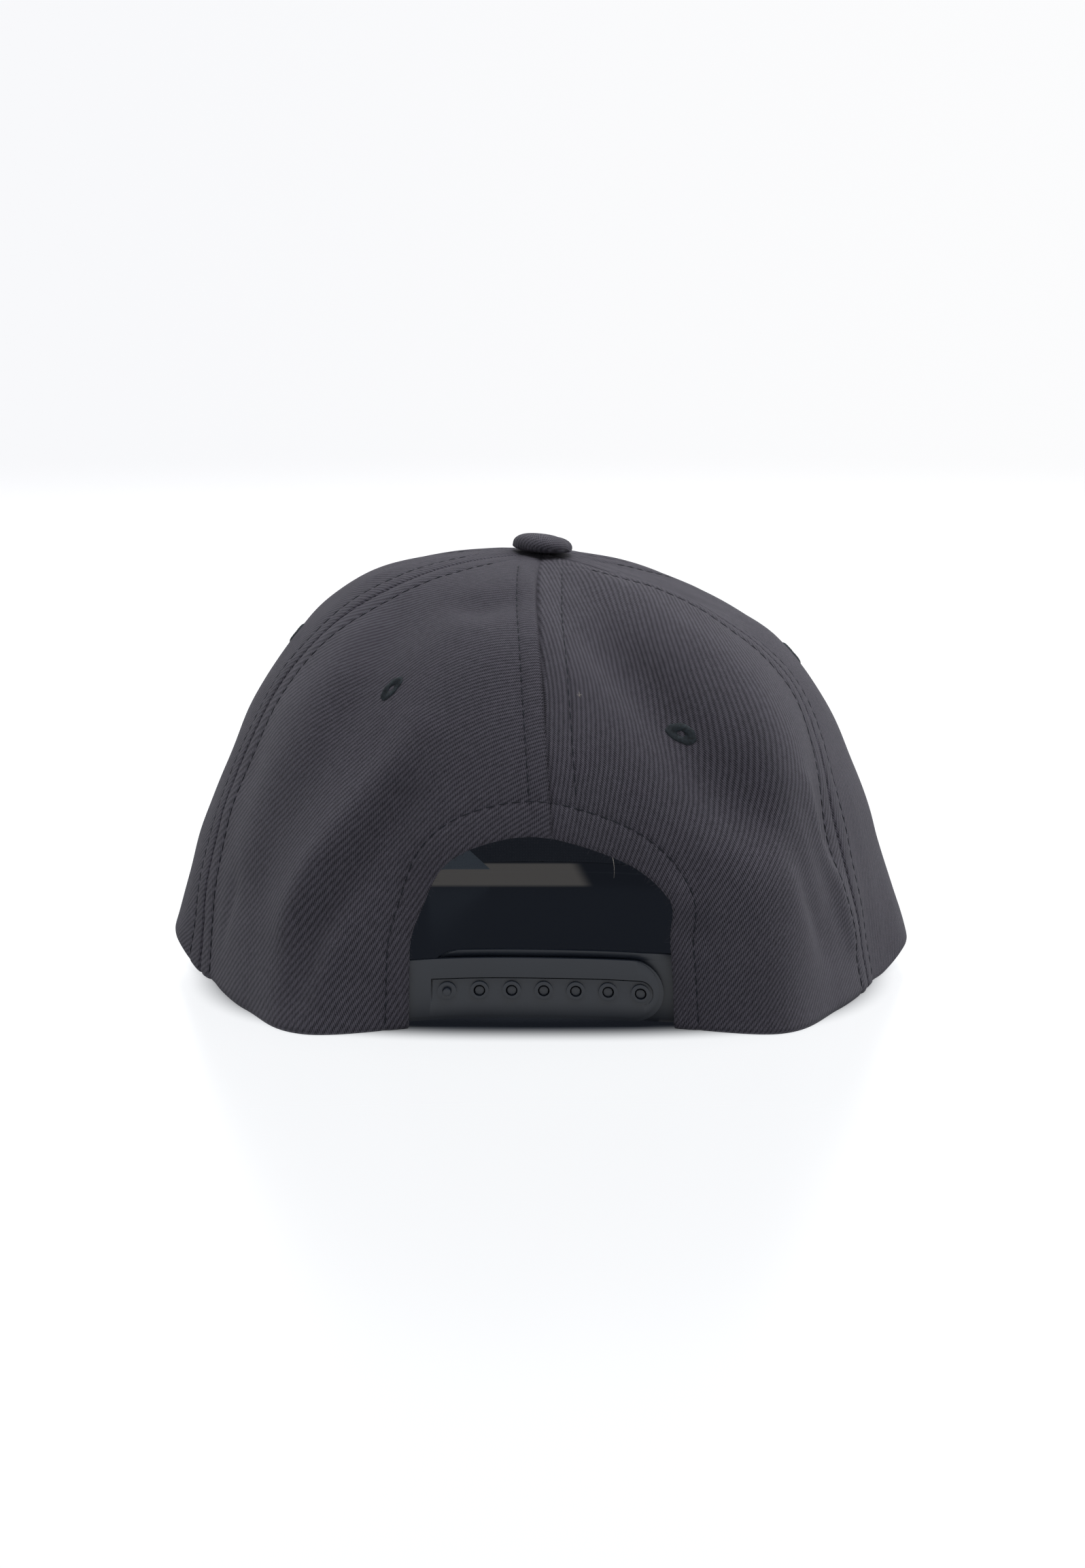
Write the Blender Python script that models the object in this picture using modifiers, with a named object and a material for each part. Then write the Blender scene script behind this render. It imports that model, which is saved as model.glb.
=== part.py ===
"""Snapback cap standing on a flat surface, built from its sewn and moulded pieces.

Units are metres and +Z is up. The brim points along -Y and the arch and snap strap face +Y.
Azimuth is measured in degrees from the back of the cap, positive towards +X, the wearer's left.
Rise runs from 0 at the lower edge of the crown to 1 at the middle of its top.
"""

import math
from collections import namedtuple

import bmesh
import bpy
import numpy as np
from mathutils import Matrix, Vector

# Crown
CROWN_WIDTH = 0.194
CROWN_LENGTH = 0.176
CROWN_HEIGHT = 0.106
PANEL_WALL = 0.0018
FOLD_DEPTH = 0.010
RIM_LIFT = 0.008
RIGHT_LIFT_SHARE = 0.68
TOP_HOLE_RADIUS = 0.0045
FRONT_SIDE_SEAM = 122.0
FRONT_SEAM = 180.0

# Gap between pieces that touch
GAP = 0.0003

# Hem beside the snap strap
ARCH_HALF_WIDTH = 0.0313

# Brim
BRIM_WIDTH = 0.178
BRIM_REACH = 0.068
BRIM_THICKNESS = 0.003
BRIM_CORNER_AZIMUTH = 118.0
BRIM_CORNER_WIDTH = 0.003
BRIM_FULLNESS = 2.5
BRIM_FLAT_FROM = 0.75

# Sweatband
BAND_HEIGHT = 0.030
BAND_WALL = 0.0012
BAND_END = 0.0335
BAND_BLEND = 0.022

# Snap straps
STRAP_HEIGHT = 0.0145
STRAP_FLOOR_GAP = 0.0024
STRAP_BASE = 0.0010
STRAP_STEP = 0.0003
STRAP_BORDER = 0.0010
STRAP_TAB = 0.0095
STRAP_ARCHING = 0.0012
PEG_STRAP_EXTRA = 0.0018
SNAP_COUNT = 7
SNAP_PITCH = 0.00777
SNAP_HEIGHT = 0.0075
SNAP_END_MARGIN = 0.0055
HOLE_RADIUS = 0.0014
RING_RADIUS = 0.0023
CHANNEL_HALF_HEIGHT = 0.0027
PEG_CLEARANCE = 0.0003
GUIDE_PEG_REACH = 0.0006
PEG_RECESS = 0.0004

# Button
BUTTON_RADIUS = 0.0080
BUTTON_HEIGHT = 0.0042
BUTTON_STEM_CLEARANCE = 0.0010
BUTTON_TILT = 4.0

# Eyelets
EYELET_RADIUS = 0.0038
EYELET_HOLE = 0.0011
EYELET_BARREL = 0.0021
EYELET_LIP = 0.0006

# Tag sewn under the sweatband
TAG_WIDTH = 0.018
TAG_DROP = 0.012
TAG_WALL = 0.0010
TAG_AZIMUTH = 163.0
TAG_TOP = 0.0136

Section = namedtuple("Section", "azimuth rim low middle shoulder crest top lift")
Seams = namedtuple("Seams", "rise back left right")
Fold = namedtuple("Fold", "azimuth rise turn reach lean push")
Eyelet = namedtuple("Eyelet", "name azimuth rise")
ArchPoint = namedtuple("ArchPoint", "across up")

# Radii are shares of the plan ellipse's radius at that azimuth, and lift is a share of RIM_LIFT.
SECTIONS = (
    Section(0, 0.955, 0.960, 0.935, 0.835, 0.650, 0.370, 0.00),
    Section(20, 1.000, 0.995, 0.965, 0.850, 0.660, 0.375, 0.00),
    Section(33, 1.165, 1.105, 1.020, 0.880, 0.675, 0.380, 0.00),
    Section(48, 1.065, 1.030, 0.970, 0.850, 0.650, 0.370, 0.00),
    Section(64, 0.985, 0.955, 0.890, 0.775, 0.610, 0.355, 0.00),
    Section(71, 0.985, 0.950, 0.880, 0.760, 0.595, 0.350, 0.10),
    Section(79, 1.010, 0.950, 0.870, 0.750, 0.585, 0.345, 0.75),
    Section(95, 0.995, 0.945, 0.865, 0.745, 0.580, 0.345, 1.00),
    Section(122, 0.995, 0.965, 0.905, 0.785, 0.600, 0.355, 0.30),
    Section(150, 1.015, 1.005, 0.970, 0.850, 0.640, 0.370, 0.33),
    Section(180, 1.000, 0.998, 0.975, 0.865, 0.655, 0.375, 0.38),
)
STATION_HEIGHTS = np.array([0.0, 0.22, 0.45, 0.68, 0.85, 0.96, 1.0])

# Azimuths of the back seam and of the two seams between the back and side panels.
SEAMS = (
    Seams(0.00, -1.0, 70.0, -61.0),
    Seams(0.20, -1.5, 71.0, -58.0),
    Seams(0.35, -1.5, 71.0, -59.0),
    Seams(0.50, -0.5, 68.0, -65.0),
    Seams(0.65, 0.5, 61.0, -62.0),
    Seams(0.80, 2.0, 54.0, -55.0),
    Seams(1.00, 4.0, 48.0, -48.0),
)

# Each fold swells or dents the crown round its own middle: turn is degrees, reach is a share of the
# rise, lean is degrees of azimuth per unit of rise, and push is a share of FOLD_DEPTH, outwards if positive.
FOLDS = (
    Fold(80, 0.76, 45, 0.18, 0, 0.31),
    Fold(-95, 0.79, 55, 0.22, 0, -0.38),
    Fold(-85, 0.90, 50, 0.10, 0, -0.13),
    Fold(-95, 0.25, 30, 0.30, 0, -0.17),
    Fold(14, 0.58, 9, 0.15, 0, 0.12),
    Fold(29, 0.42, 7, 0.20, 25, -0.20),
    Fold(43, 0.45, 8, 0.20, 10, 0.12),
    Fold(-20, 0.57, 7, 0.20, 63, -0.28),
    Fold(-40, 0.52, 8, 0.16, 20, 0.22),
    Fold(-31, 0.36, 7, 0.07, 0, -0.16),
    Fold(-39, 0.24, 6, 0.13, -20, 0.16),
    Fold(-53, 0.28, 7, 0.13, -15, -0.34),
)

EYELETS = (
    Eyelet("eyelet_back_left", 30.5, 0.560),
    Eyelet("eyelet_back_right", -25.0, 0.480),
    Eyelet("eyelet_side_left", 87.0, 0.600),
    Eyelet("eyelet_side_right", -90.0, 0.560),
    Eyelet("eyelet_front_left", 150.0, 0.620),
    Eyelet("eyelet_front_right", -150.0, 0.620),
)

# The arch's edge in millimetres, from the foot of each hem to the top: distance round the crown from its
# back, positive to the wearer's left, and height above the rim.
ARCH_LEFT = (
    ArchPoint(31.9, 0.0),
    ArchPoint(31.9, 12.0),
    ArchPoint(31.9, 21.0),
    ArchPoint(31.2, 24.4),
    ArchPoint(30.0, 27.6),
    ArchPoint(28.6, 31.0),
    ArchPoint(27.2, 34.5),
    ArchPoint(25.2, 38.4),
    ArchPoint(22.0, 41.5),
    ArchPoint(17.7, 43.9),
    ArchPoint(13.0, 45.5),
    ArchPoint(7.8, 46.7),
    ArchPoint(2.6, 47.1),
)
ARCH_RIGHT = (
    ArchPoint(-31.5, 0.0),
    ArchPoint(-31.2, 12.0),
    ArchPoint(-30.6, 21.0),
    ArchPoint(-30.7, 24.4),
    ArchPoint(-31.4, 27.8),
    ArchPoint(-31.1, 31.0),
    ArchPoint(-28.9, 33.8),
    ArchPoint(-26.5, 36.3),
    ArchPoint(-23.8, 38.4),
    ArchPoint(-21.0, 40.2),
    ArchPoint(-18.0, 41.6),
    ArchPoint(-14.8, 42.9),
    ArchPoint(-11.0, 44.3),
    ArchPoint(-6.9, 45.5),
    ArchPoint(-2.8, 46.5),
)

# Mesh fineness
PANEL_COLUMNS = 11
PANEL_ROWS = 16
ARCH_COLUMNS = 13
BRIM_COLUMNS = 28
BRIM_ROWS = 4
BAND_COLUMNS = 54
BAND_ROWS = 3
ROUND_SIDES = 16
EYELET_SIDES = 12
STRAP_CUTS = 16


def clear_scene():
    for leftover in list(bpy.data.objects):
        bpy.data.objects.remove(leftover)


# Crown surface


def hermite(before, start, end, after, place):
    """Cubic through start and end whose slopes come from their neighbours, with even spacing."""
    slope_in = (end - before) / 2
    slope_out = (after - start) / 2
    return (
        start * (2 * place**3 - 3 * place**2 + 1)
        + slope_in * (place**3 - 2 * place**2 + place)
        + end * (3 * place**2 - 2 * place**3)
        + slope_out * (place**3 - place**2)
    )


def section_rows(azimuth):
    """The section table's columns at each azimuth, mirrored about the cap's middle plane."""
    half = np.array([list(row) for row in SECTIONS], float)
    mirror = half[1:-1][::-1].copy()
    mirror[:, 0] = 360 - mirror[:, 0]
    ring = np.vstack([half, mirror])
    rows = np.vstack([ring[-2:], ring, ring[:3]])
    rows[:2, 0] -= 360
    rows[-3:, 0] += 360
    knots = rows[:, 0]
    turn = np.asarray(azimuth, float) % 360
    i = np.clip(np.searchsorted(knots, turn, side="right") - 1, 1, len(knots) - 3)
    span = knots[i + 1] - knots[i]
    slopes = (rows[2:, 1:] - rows[:-2, 1:]) / (knots[2:] - knots[:-2])[:, None]
    place = ((turn - knots[i]) / span)[:, None]
    span = span[:, None]
    return (
        rows[i, 1:] * (2 * place**3 - 3 * place**2 + 1)
        + slopes[i - 1] * span * (place**3 - 2 * place**2 + place)
        + rows[i + 1, 1:] * (3 * place**2 - 2 * place**3)
        + slopes[i] * span * (place**3 - place**2)
    )


def height_share(rise):
    """Height above the rim as a share of the crown's height."""
    last = len(STATION_HEIGHTS) - 1
    line = np.concatenate([[-STATION_HEIGHTS[1]], STATION_HEIGHTS, [STATION_HEIGHTS[-2]]])
    at = np.clip(np.asarray(rise, float), 0, 1) * last
    i = np.minimum(at.astype(int), last - 1)
    return hermite(line[i], line[i + 1], line[i + 2], line[i + 3], at - i)


def rise_at_height(height):
    """The rise at which the crown stands this far above its rim."""
    steps = np.linspace(0, 1, 201)
    return np.interp(height, height_share(steps) * CROWN_HEIGHT, steps)


def crown_points(azimuth, rise):
    """Points on the outside of the crown."""
    azimuth = np.atleast_1d(np.asarray(azimuth, float))
    rise = np.atleast_1d(np.asarray(rise, float))
    azimuth, rise = np.broadcast_arrays(azimuth, rise)
    shape = azimuth.shape
    azimuth = azimuth.ravel()
    rise = rise.ravel()
    rows = section_rows(azimuth)
    shares = np.hstack([rows[:, :6], np.zeros((len(rows), 1))])
    line = np.hstack([2 * shares[:, :1] - shares[:, 1:2], shares, -shares[:, 5:6]])
    last = shares.shape[1] - 1
    at = np.clip(rise, 0, 1) * last
    i = np.minimum(at.astype(int), last - 1)
    each = np.arange(len(i))
    share = hermite(line[each, i], line[each, i + 1], line[each, i + 2], line[each, i + 3], at - i)
    turn = np.radians(azimuth)
    ellipse = 1 / np.hypot(np.sin(turn) / (CROWN_WIDTH / 2), np.cos(turn) / (CROWN_LENGTH / 2))
    radius = share * ellipse
    drop = 1 - (1 - RIGHT_LIFT_SHARE) * np.clip(-np.sin(turn), 0, 1)
    height = height_share(rise) * CROWN_HEIGHT + rows[:, 6] * RIM_LIFT * drop * (1 - rise) ** 3
    swell = np.zeros(len(radius))
    for fold in FOLDS:
        middle = fold.azimuth + fold.lean * (rise - fold.rise)
        away = (azimuth - middle + 180) % 360 - 180
        swell += fold.push * np.exp(-((away / fold.turn) ** 2) - ((rise - fold.rise) / fold.reach) ** 2)
    swell *= FOLD_DEPTH * (1 - rise**8)
    facing = math.pi / 2 * rise**1.6
    radius = radius + swell * np.cos(facing)
    height = height + swell * np.sin(facing)
    points = np.stack([radius * np.sin(turn), radius * np.cos(turn), height], axis=1)
    return points.reshape(*shape, 3)


def crown_normals(azimuth, rise):
    """Outward directions of the crown's surface."""
    turn_step = 0.4
    rise_step = 0.004
    low = np.clip(np.asarray(rise, float) - rise_step, 0, 0.99)
    high = np.clip(np.asarray(rise, float) + rise_step, 0.01, 1)
    around = crown_points(azimuth + turn_step, rise) - crown_points(azimuth - turn_step, rise)
    upward = crown_points(azimuth, high) - crown_points(azimuth, low)
    normals = np.cross(upward, around)
    return normals / np.linalg.norm(normals, axis=-1, keepdims=True)


def inside_crown(azimuth, rise, depth):
    """Points this deep below the crown's outer surface."""
    return crown_points(azimuth, rise) - crown_normals(azimuth, rise) * np.asarray(depth)[..., None]


def azimuth_at_distance(distance):
    """Azimuth of a point this far round the crown from its back, measured near the rim."""
    turns = np.linspace(-90, 90, 721)
    rim = crown_points(turns, rise_at_height(STRAP_HEIGHT / 2))
    steps = np.linalg.norm(np.diff(rim, axis=0), axis=1)
    travel = np.concatenate([[0], np.cumsum(steps)])
    travel -= np.interp(0, turns, travel)
    return np.interp(distance, travel, turns)


def top_rise():
    """Rise of the edge of the small hole in the middle of the top."""
    steps = np.linspace(0.8, 1, 201)
    radii = np.hypot(*crown_points(90.0, steps)[:, :2].T)
    return float(np.interp(-TOP_HOLE_RADIUS, -radii, steps))


# Mesh building


def finish_object(name, mesh, collection, material):
    made = bpy.data.objects.new(name, mesh)
    mesh.materials.append(material)
    collection.objects.link(made)
    return made


def grid_mesh(name, points):
    """A mesh of quads through a grid of points, rows by columns."""
    rows, columns = points.shape[:2]
    corners = [
        (r * columns + c, r * columns + c + 1, (r + 1) * columns + c + 1, (r + 1) * columns + c)
        for r in range(rows - 1)
        for c in range(columns - 1)
    ]
    mesh = bpy.data.meshes.new(name)
    mesh.from_pydata([tuple(p) for p in points.reshape(-1, 3)], [], corners)
    return mesh


def face_outwards(mesh, middle):
    """Turns an open shell's faces away from a point inside it."""
    mesh.calc_loop_triangles()
    outward = sum((p.center - middle).dot(p.normal) * p.area for p in mesh.polygons)
    if outward < 0:
        mesh.flip_normals()


def add_wall(target, thickness, side=-1):
    wall = target.modifiers.new("Wall", "SOLIDIFY")
    wall.thickness = thickness
    wall.offset = side
    return wall


def bake_modifiers(target):
    """Replaces the object's mesh by its evaluated one."""
    graph = bpy.context.evaluated_depsgraph_get()
    baked = bpy.data.meshes.new_from_object(target.evaluated_get(graph))
    target.modifiers.clear()
    target.data = baked


def smooth_shading(target, angle=30):
    target.data.shade_smooth()
    target.data.set_sharp_from_angle(angle=math.radians(angle))


def material_named(name, colour, roughness):
    made = bpy.data.materials.new(name)
    made.use_nodes = True
    shader = made.node_tree.nodes["Principled BSDF"]
    shader.inputs["Base Color"].default_value = (*colour, 1)
    shader.inputs["Roughness"].default_value = roughness
    shader.inputs["Metallic"].default_value = 0.0
    return made


# Crown panels


def seam_azimuth(seam, rise):
    """Azimuth of a named seam at each rise."""
    knots = [row.rise for row in SEAMS]
    azimuths = [getattr(row, seam) for row in SEAMS]
    return np.interp(rise, knots, azimuths)


def seam_inset(azimuth, rise):
    """Half the seam gap, in degrees, at this place on a seam."""
    spots = crown_points(azimuth, rise)
    radii = np.hypot(spots[..., 0], spots[..., 1])
    return np.degrees(GAP / 2 / radii)


def plain_panel_places(first, last):
    """Azimuths and rises of a panel between two seams, given as their azimuths at each rise."""
    rise = np.linspace(0, top_rise(), PANEL_ROWS + 1)
    share = np.linspace(0, 1, PANEL_COLUMNS + 1)[None, :]
    start = first(rise)
    end = last(rise)
    way = np.sign(end[0] - start[0])
    start = (start + way * seam_inset(start, rise))[:, None]
    end = (end - way * seam_inset(end, rise))[:, None]
    return start + (end - start) * share, np.broadcast_to(rise[:, None], (PANEL_ROWS + 1, PANEL_COLUMNS + 1))


def arch_edge(sign, steps):
    """Azimuth and rise along one side of the arch, from the foot of its hem to the back seam."""
    line = ARCH_LEFT + ARCH_RIGHT[::-1]
    across = np.array([point.across for point in line]) / 1000
    up = np.array([point.up for point in line]) / 1000
    travel = np.concatenate([[0], np.cumsum(np.hypot(np.diff(across), np.diff(up)))])
    fine = np.linspace(0, travel[-1], 2000)
    turn = azimuth_at_distance(np.interp(fine, travel, across))
    rise = rise_at_height(np.interp(fine, travel, up))
    seam = seam_azimuth("back", rise)
    mine = turn > seam if sign > 0 else turn < seam
    fine = fine[mine] if sign > 0 else fine[mine][::-1]
    at = np.linspace(fine[0], fine[-1], steps)
    order = np.argsort(fine)
    turn = turn[mine] if sign > 0 else turn[mine][::-1]
    rise = rise[mine] if sign > 0 else rise[mine][::-1]
    return np.interp(at, fine[order], turn[order]), np.interp(at, fine[order], rise[order])


def narrowing(rise):
    """How a panel narrows towards the top, as a share of its width at the rim."""
    radii = np.hypot(*np.moveaxis(crown_points(90.0, rise)[..., :2], -1, 0))
    foot = np.hypot(*crown_points(90.0, 0.0)[0, :2])
    return radii / foot


def back_panel_places(side, sign):
    """Azimuths and rises of a back panel, whose rows run round the arch."""
    top = top_rise()
    rows = PANEL_ROWS + 1
    columns = ARCH_COLUMNS + 1
    arch_turn, arch_rise = arch_edge(sign, rows)
    head_rise = np.append(np.linspace(arch_rise[-1], top, columns - 1), top)
    head_turn = seam_azimuth("back", head_rise)
    head_turn = head_turn + sign * seam_inset(head_turn, head_rise)
    side_rise = np.linspace(0, top, rows)
    side_turn = seam_azimuth(side, side_rise)
    side_turn = side_turn - sign * seam_inset(side_turn, side_rise)
    arch_turn[-1] = head_turn[0]
    head_turn[-1] = side_turn[-1]
    foot_turn = np.linspace(arch_turn[0], side_turn[0], columns)
    foot_rise = np.zeros(columns)

    def flat(turn, rise):
        return np.stack([turn * narrowing(rise), rise], axis=-1)

    inner = flat(arch_turn, arch_rise)[:, None]
    outer = flat(side_turn, side_rise)[:, None]
    foot = flat(foot_turn, foot_rise)[None]
    head = flat(head_turn, head_rise)[None]
    up = np.linspace(0, 1, rows)[:, None, None]
    out = np.linspace(0, 1, columns)[None, :, None]
    sheet = (1 - out) * inner + out * outer + (1 - up) * foot + up * head
    sheet = sheet - (1 - up) * ((1 - out) * inner[0] + out * outer[0])
    sheet = sheet - up * ((1 - out) * inner[-1] + out * outer[-1])
    rise = sheet[..., 1]
    turn = sheet[..., 0] / narrowing(rise)
    return turn, rise


def eyelet_frame(eyelet):
    """Matrix that puts +Z along the crown's outward direction at an eyelet."""
    spot = Vector(crown_points(eyelet.azimuth, eyelet.rise)[0])
    out = Vector(crown_normals(eyelet.azimuth, eyelet.rise)[0])
    return Matrix.Translation(spot) @ out.to_track_quat("Z", "Y").to_matrix().to_4x4()


def cut_eyelet_hole(panel, eyelet, cutters):
    mesh = bpy.data.meshes.new("hole_" + eyelet.name)
    shape = bmesh.new()
    hole = EYELET_BARREL + GAP
    bmesh.ops.create_cone(
        shape, cap_ends=True, segments=EYELET_SIDES, radius1=hole, radius2=hole, depth=PANEL_WALL * 6
    )
    shape.to_mesh(mesh)
    shape.free()
    cutter = bpy.data.objects.new("hole_" + eyelet.name, mesh)
    cutter.matrix_world = eyelet_frame(eyelet)
    cutter.hide_render = True
    cutter.display_type = "WIRE"
    cutters.objects.link(cutter)
    cut = panel.modifiers.new("Eyelet hole", "BOOLEAN")
    cut.operation = "DIFFERENCE"
    cut.object = cutter


def make_panel(name, turn, rise, eyelet, parts, cutters, material):
    mesh = grid_mesh(name, crown_points(turn, rise))
    face_outwards(mesh, Vector((0, 0, CROWN_HEIGHT / 3)))
    panel = finish_object(name, mesh, parts, material)
    add_wall(panel, PANEL_WALL)
    bake_modifiers(panel)
    for vertex in panel.data.vertices:
        vertex.co.z = max(vertex.co.z, 0.0)
    cut_eyelet_hole(panel, eyelet, cutters)
    smooth_shading(panel)
    return panel


def make_panels(parts, cutters, material):
    eyelet_of = {eyelet.name: eyelet for eyelet in EYELETS}
    for side, sign in (("left", 1), ("right", -1)):
        turn, rise = back_panel_places(side, sign)
        eyelet = eyelet_of["eyelet_back_" + side]
        make_panel("panel_back_" + side, turn, rise, eyelet, parts, cutters, material)

        def side_seam(heights, side=side):
            return seam_azimuth(side, heights)

        def front_side_seam(heights, sign=sign):
            return np.full(len(heights), sign * FRONT_SIDE_SEAM)

        def front_seam(heights, sign=sign):
            return np.full(len(heights), sign * FRONT_SEAM)

        for place, first, last in (
            ("side", side_seam, front_side_seam),
            ("front", front_side_seam, front_seam),
        ):
            turn, rise = plain_panel_places(first, last)
            name = place + "_" + side
            eyelet = eyelet_of["eyelet_" + name]
            make_panel("panel_" + name, turn, rise, eyelet, parts, cutters, material)


# Turned pieces


def turned(name, profile, sides, parts, material):
    """A piece turned about +Z from a profile of (radius, height), top to bottom on its outer side."""
    mesh = bpy.data.meshes.new(name)
    ends = [(i, (i + 1) % len(profile)) for i in range(len(profile))]
    if profile[0][0] == 0 and profile[-1][0] == 0:
        ends = ends[:-1]
    mesh.from_pydata([(radius, 0, height) for radius, height in profile], ends, [])
    piece = finish_object(name, mesh, parts, material)
    screw = piece.modifiers.new("Turn", "SCREW")
    screw.steps = sides
    screw.render_steps = sides
    screw.use_merge_vertices = True
    screw.merge_threshold = 0.00001
    screw.use_smooth_shade = True
    return piece


def make_eyelets(parts, material):
    for eyelet in EYELETS:
        under = -PANEL_WALL - GAP
        profile = (
            (EYELET_HOLE, EYELET_LIP + GAP),
            ((EYELET_HOLE + EYELET_RADIUS) / 2, EYELET_LIP * 1.3 + GAP),
            (EYELET_RADIUS, GAP * 1.5),
            (EYELET_BARREL, GAP * 1.2),
            (EYELET_BARREL, under),
            (EYELET_HOLE, under),
        )
        ring = turned(eyelet.name, profile, EYELET_SIDES, parts, material)
        ring.matrix_world = eyelet_frame(eyelet)


def make_button(parts, material):
    stem = TOP_HOLE_RADIUS - BUTTON_STEM_CLEARANCE
    shares = ((0.0, 1.0), (0.30, 0.97), (0.58, 0.86), (0.80, 0.68), (0.94, 0.45), (1.0, 0.24), (0.97, 0.06))
    profile = [(BUTTON_RADIUS * across, BUTTON_HEIGHT * up) for across, up in shares]
    profile += [(BUTTON_RADIUS * 0.88, 0.0), (stem, 0.0), (stem, -PANEL_WALL - GAP), (0.0, -PANEL_WALL - GAP)]
    button = turned("button", profile, ROUND_SIDES, parts, material)
    button.location = (0, 0, CROWN_HEIGHT + 2 * GAP)
    button.rotation_euler = (0, math.radians(-BUTTON_TILT), 0)


# Brim


def brim_edges(share):
    """Inner and outer edge of the brim's underside, for shares from -1 to 1 across it."""
    turn = 180 + share * (180 - BRIM_CORNER_AZIMUTH)
    rim = crown_points(turn, 0.0)
    out = crown_normals(turn, 0.0)
    out[..., 2] = 0
    out /= np.linalg.norm(out, axis=-1, keepdims=True)
    inner = rim + out * GAP * 1.5
    corner = abs(float(inner[0, 1]))
    half = BRIM_WIDTH / 2
    reach = CROWN_LENGTH / 2 + BRIM_REACH - corner
    swing = share * math.pi / 2
    across = np.sign(share) * np.abs(np.sin(swing)) ** (2 / BRIM_FULLNESS) * half
    forward = -corner - reach * np.abs(np.cos(swing)) ** (2 / BRIM_FULLNESS)
    outer = np.stack([-across, forward, np.zeros(len(share))], axis=1)
    ends = np.abs(share) ** 12
    outer[:, 0] = outer[:, 0] * (1 - ends) + ends * (inner[:, 0] + np.sign(inner[:, 0]) * BRIM_CORNER_WIDTH)
    return inner, outer


def make_brim(parts, material):
    share = np.linspace(-1, 1, BRIM_COLUMNS + 1)
    inner, outer = brim_edges(share)
    along = np.linspace(0, 1, BRIM_ROWS + 1)[:, None, None]
    points = inner[None] * (1 - along) + outer[None] * along
    points[..., 2] = inner[None, :, 2] * np.clip(1 - along[..., 0] / BRIM_FLAT_FROM, 0, 1) ** 2
    mesh = grid_mesh("brim", points)
    face_outwards(mesh, Vector((0, -CROWN_LENGTH / 2, CROWN_HEIGHT)))
    brim = finish_object("brim", mesh, parts, material)
    add_wall(brim, BRIM_THICKNESS)
    bake_modifiers(brim)
    for vertex in brim.data.vertices:
        vertex.co.z = max(vertex.co.z, 0.0)
    smooth_shading(brim)


# Sweatband and tag


def band_depth(distance):
    """Depth of the sweatband's outer side below the crown, deeper where it passes over the strap tabs."""
    plain = PANEL_WALL + 3 * GAP
    over_tabs = plain + 2 * (STRAP_BASE + STRAP_STEP + GAP) + GAP
    fade = np.clip((np.abs(distance) - BAND_END) / BAND_BLEND, 0, 1)
    fade = fade * fade * (3 - 2 * fade)
    return over_tabs + (plain - over_tabs) * fade


def make_sweatband(parts, material):
    start = float(azimuth_at_distance(BAND_END))
    turn = np.linspace(start, 360 - start, BAND_COLUMNS + 1)
    near = np.where(turn > 180, turn - 360, turn)
    distance = np.radians(near) * CROWN_LENGTH / 2 * 1.05
    rise = rise_at_height(np.linspace(GAP * 3, BAND_HEIGHT, BAND_ROWS + 1))
    points = inside_crown(turn[None, :], rise[:, None], band_depth(distance)[None, :])
    mesh = grid_mesh("sweatband", points)
    face_outwards(mesh, Vector((0, 0, BAND_HEIGHT / 2)))
    band = finish_object("sweatband", mesh, parts, material)
    add_wall(band, BAND_WALL)
    bake_modifiers(band)
    for vertex in band.data.vertices:
        vertex.co.z = max(vertex.co.z, 0.0)
    smooth_shading(band)


def make_tag(parts, material):
    """A folded tag that hangs from the sweatband's inner side."""
    depth = PANEL_WALL + BAND_WALL + 5 * GAP
    spot = inside_crown(TAG_AZIMUTH, rise_at_height(TAG_TOP), depth + GAP)[0]
    out = crown_normals(TAG_AZIMUTH, rise_at_height(TAG_TOP))[0]
    mesh = bpy.data.meshes.new("tag")
    shape = bmesh.new()
    bmesh.ops.create_cube(shape, size=1)
    bmesh.ops.scale(shape, vec=(TAG_WIDTH, TAG_WALL, TAG_DROP), verts=shape.verts)
    bmesh.ops.translate(shape, vec=(0, -TAG_WALL / 2, -TAG_DROP / 2), verts=shape.verts)
    for vertex in shape.verts:
        if vertex.co.z < -TAG_DROP / 2:
            vertex.co.x *= 0.55
    shape.to_mesh(mesh)
    shape.free()
    tag = finish_object("tag", mesh, parts, material)
    tag.location = spot
    tag.rotation_euler = (0, 0, math.atan2(out[1], out[0]) - math.pi / 2)


# Snap straps


def snap_places():
    """Distances of the snaps from the back seam, from the wearer's left to right."""
    middle = (SNAP_COUNT - 1) / 2
    return [(middle - i) * SNAP_PITCH - PEG_CLEARANCE for i in range(SNAP_COUNT)]


def strap_outline(tip, foot, inset, height=STRAP_HEIGHT):
    """Flat outline, as (along, up), from a square foot to a round tip."""
    radius = height / 2 - inset
    toward = 1 if tip > foot else -1
    centre = tip - toward * (radius + inset)
    steps = ROUND_SIDES // 2
    bend = [math.pi / 2 - math.pi * i / steps for i in range(steps + 1)]
    outline = [(foot, height - inset)]
    outline += [(centre + toward * radius * math.cos(a), height / 2 + radius * math.sin(a)) for a in bend]
    outline.append((foot, inset))
    return outline


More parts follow.
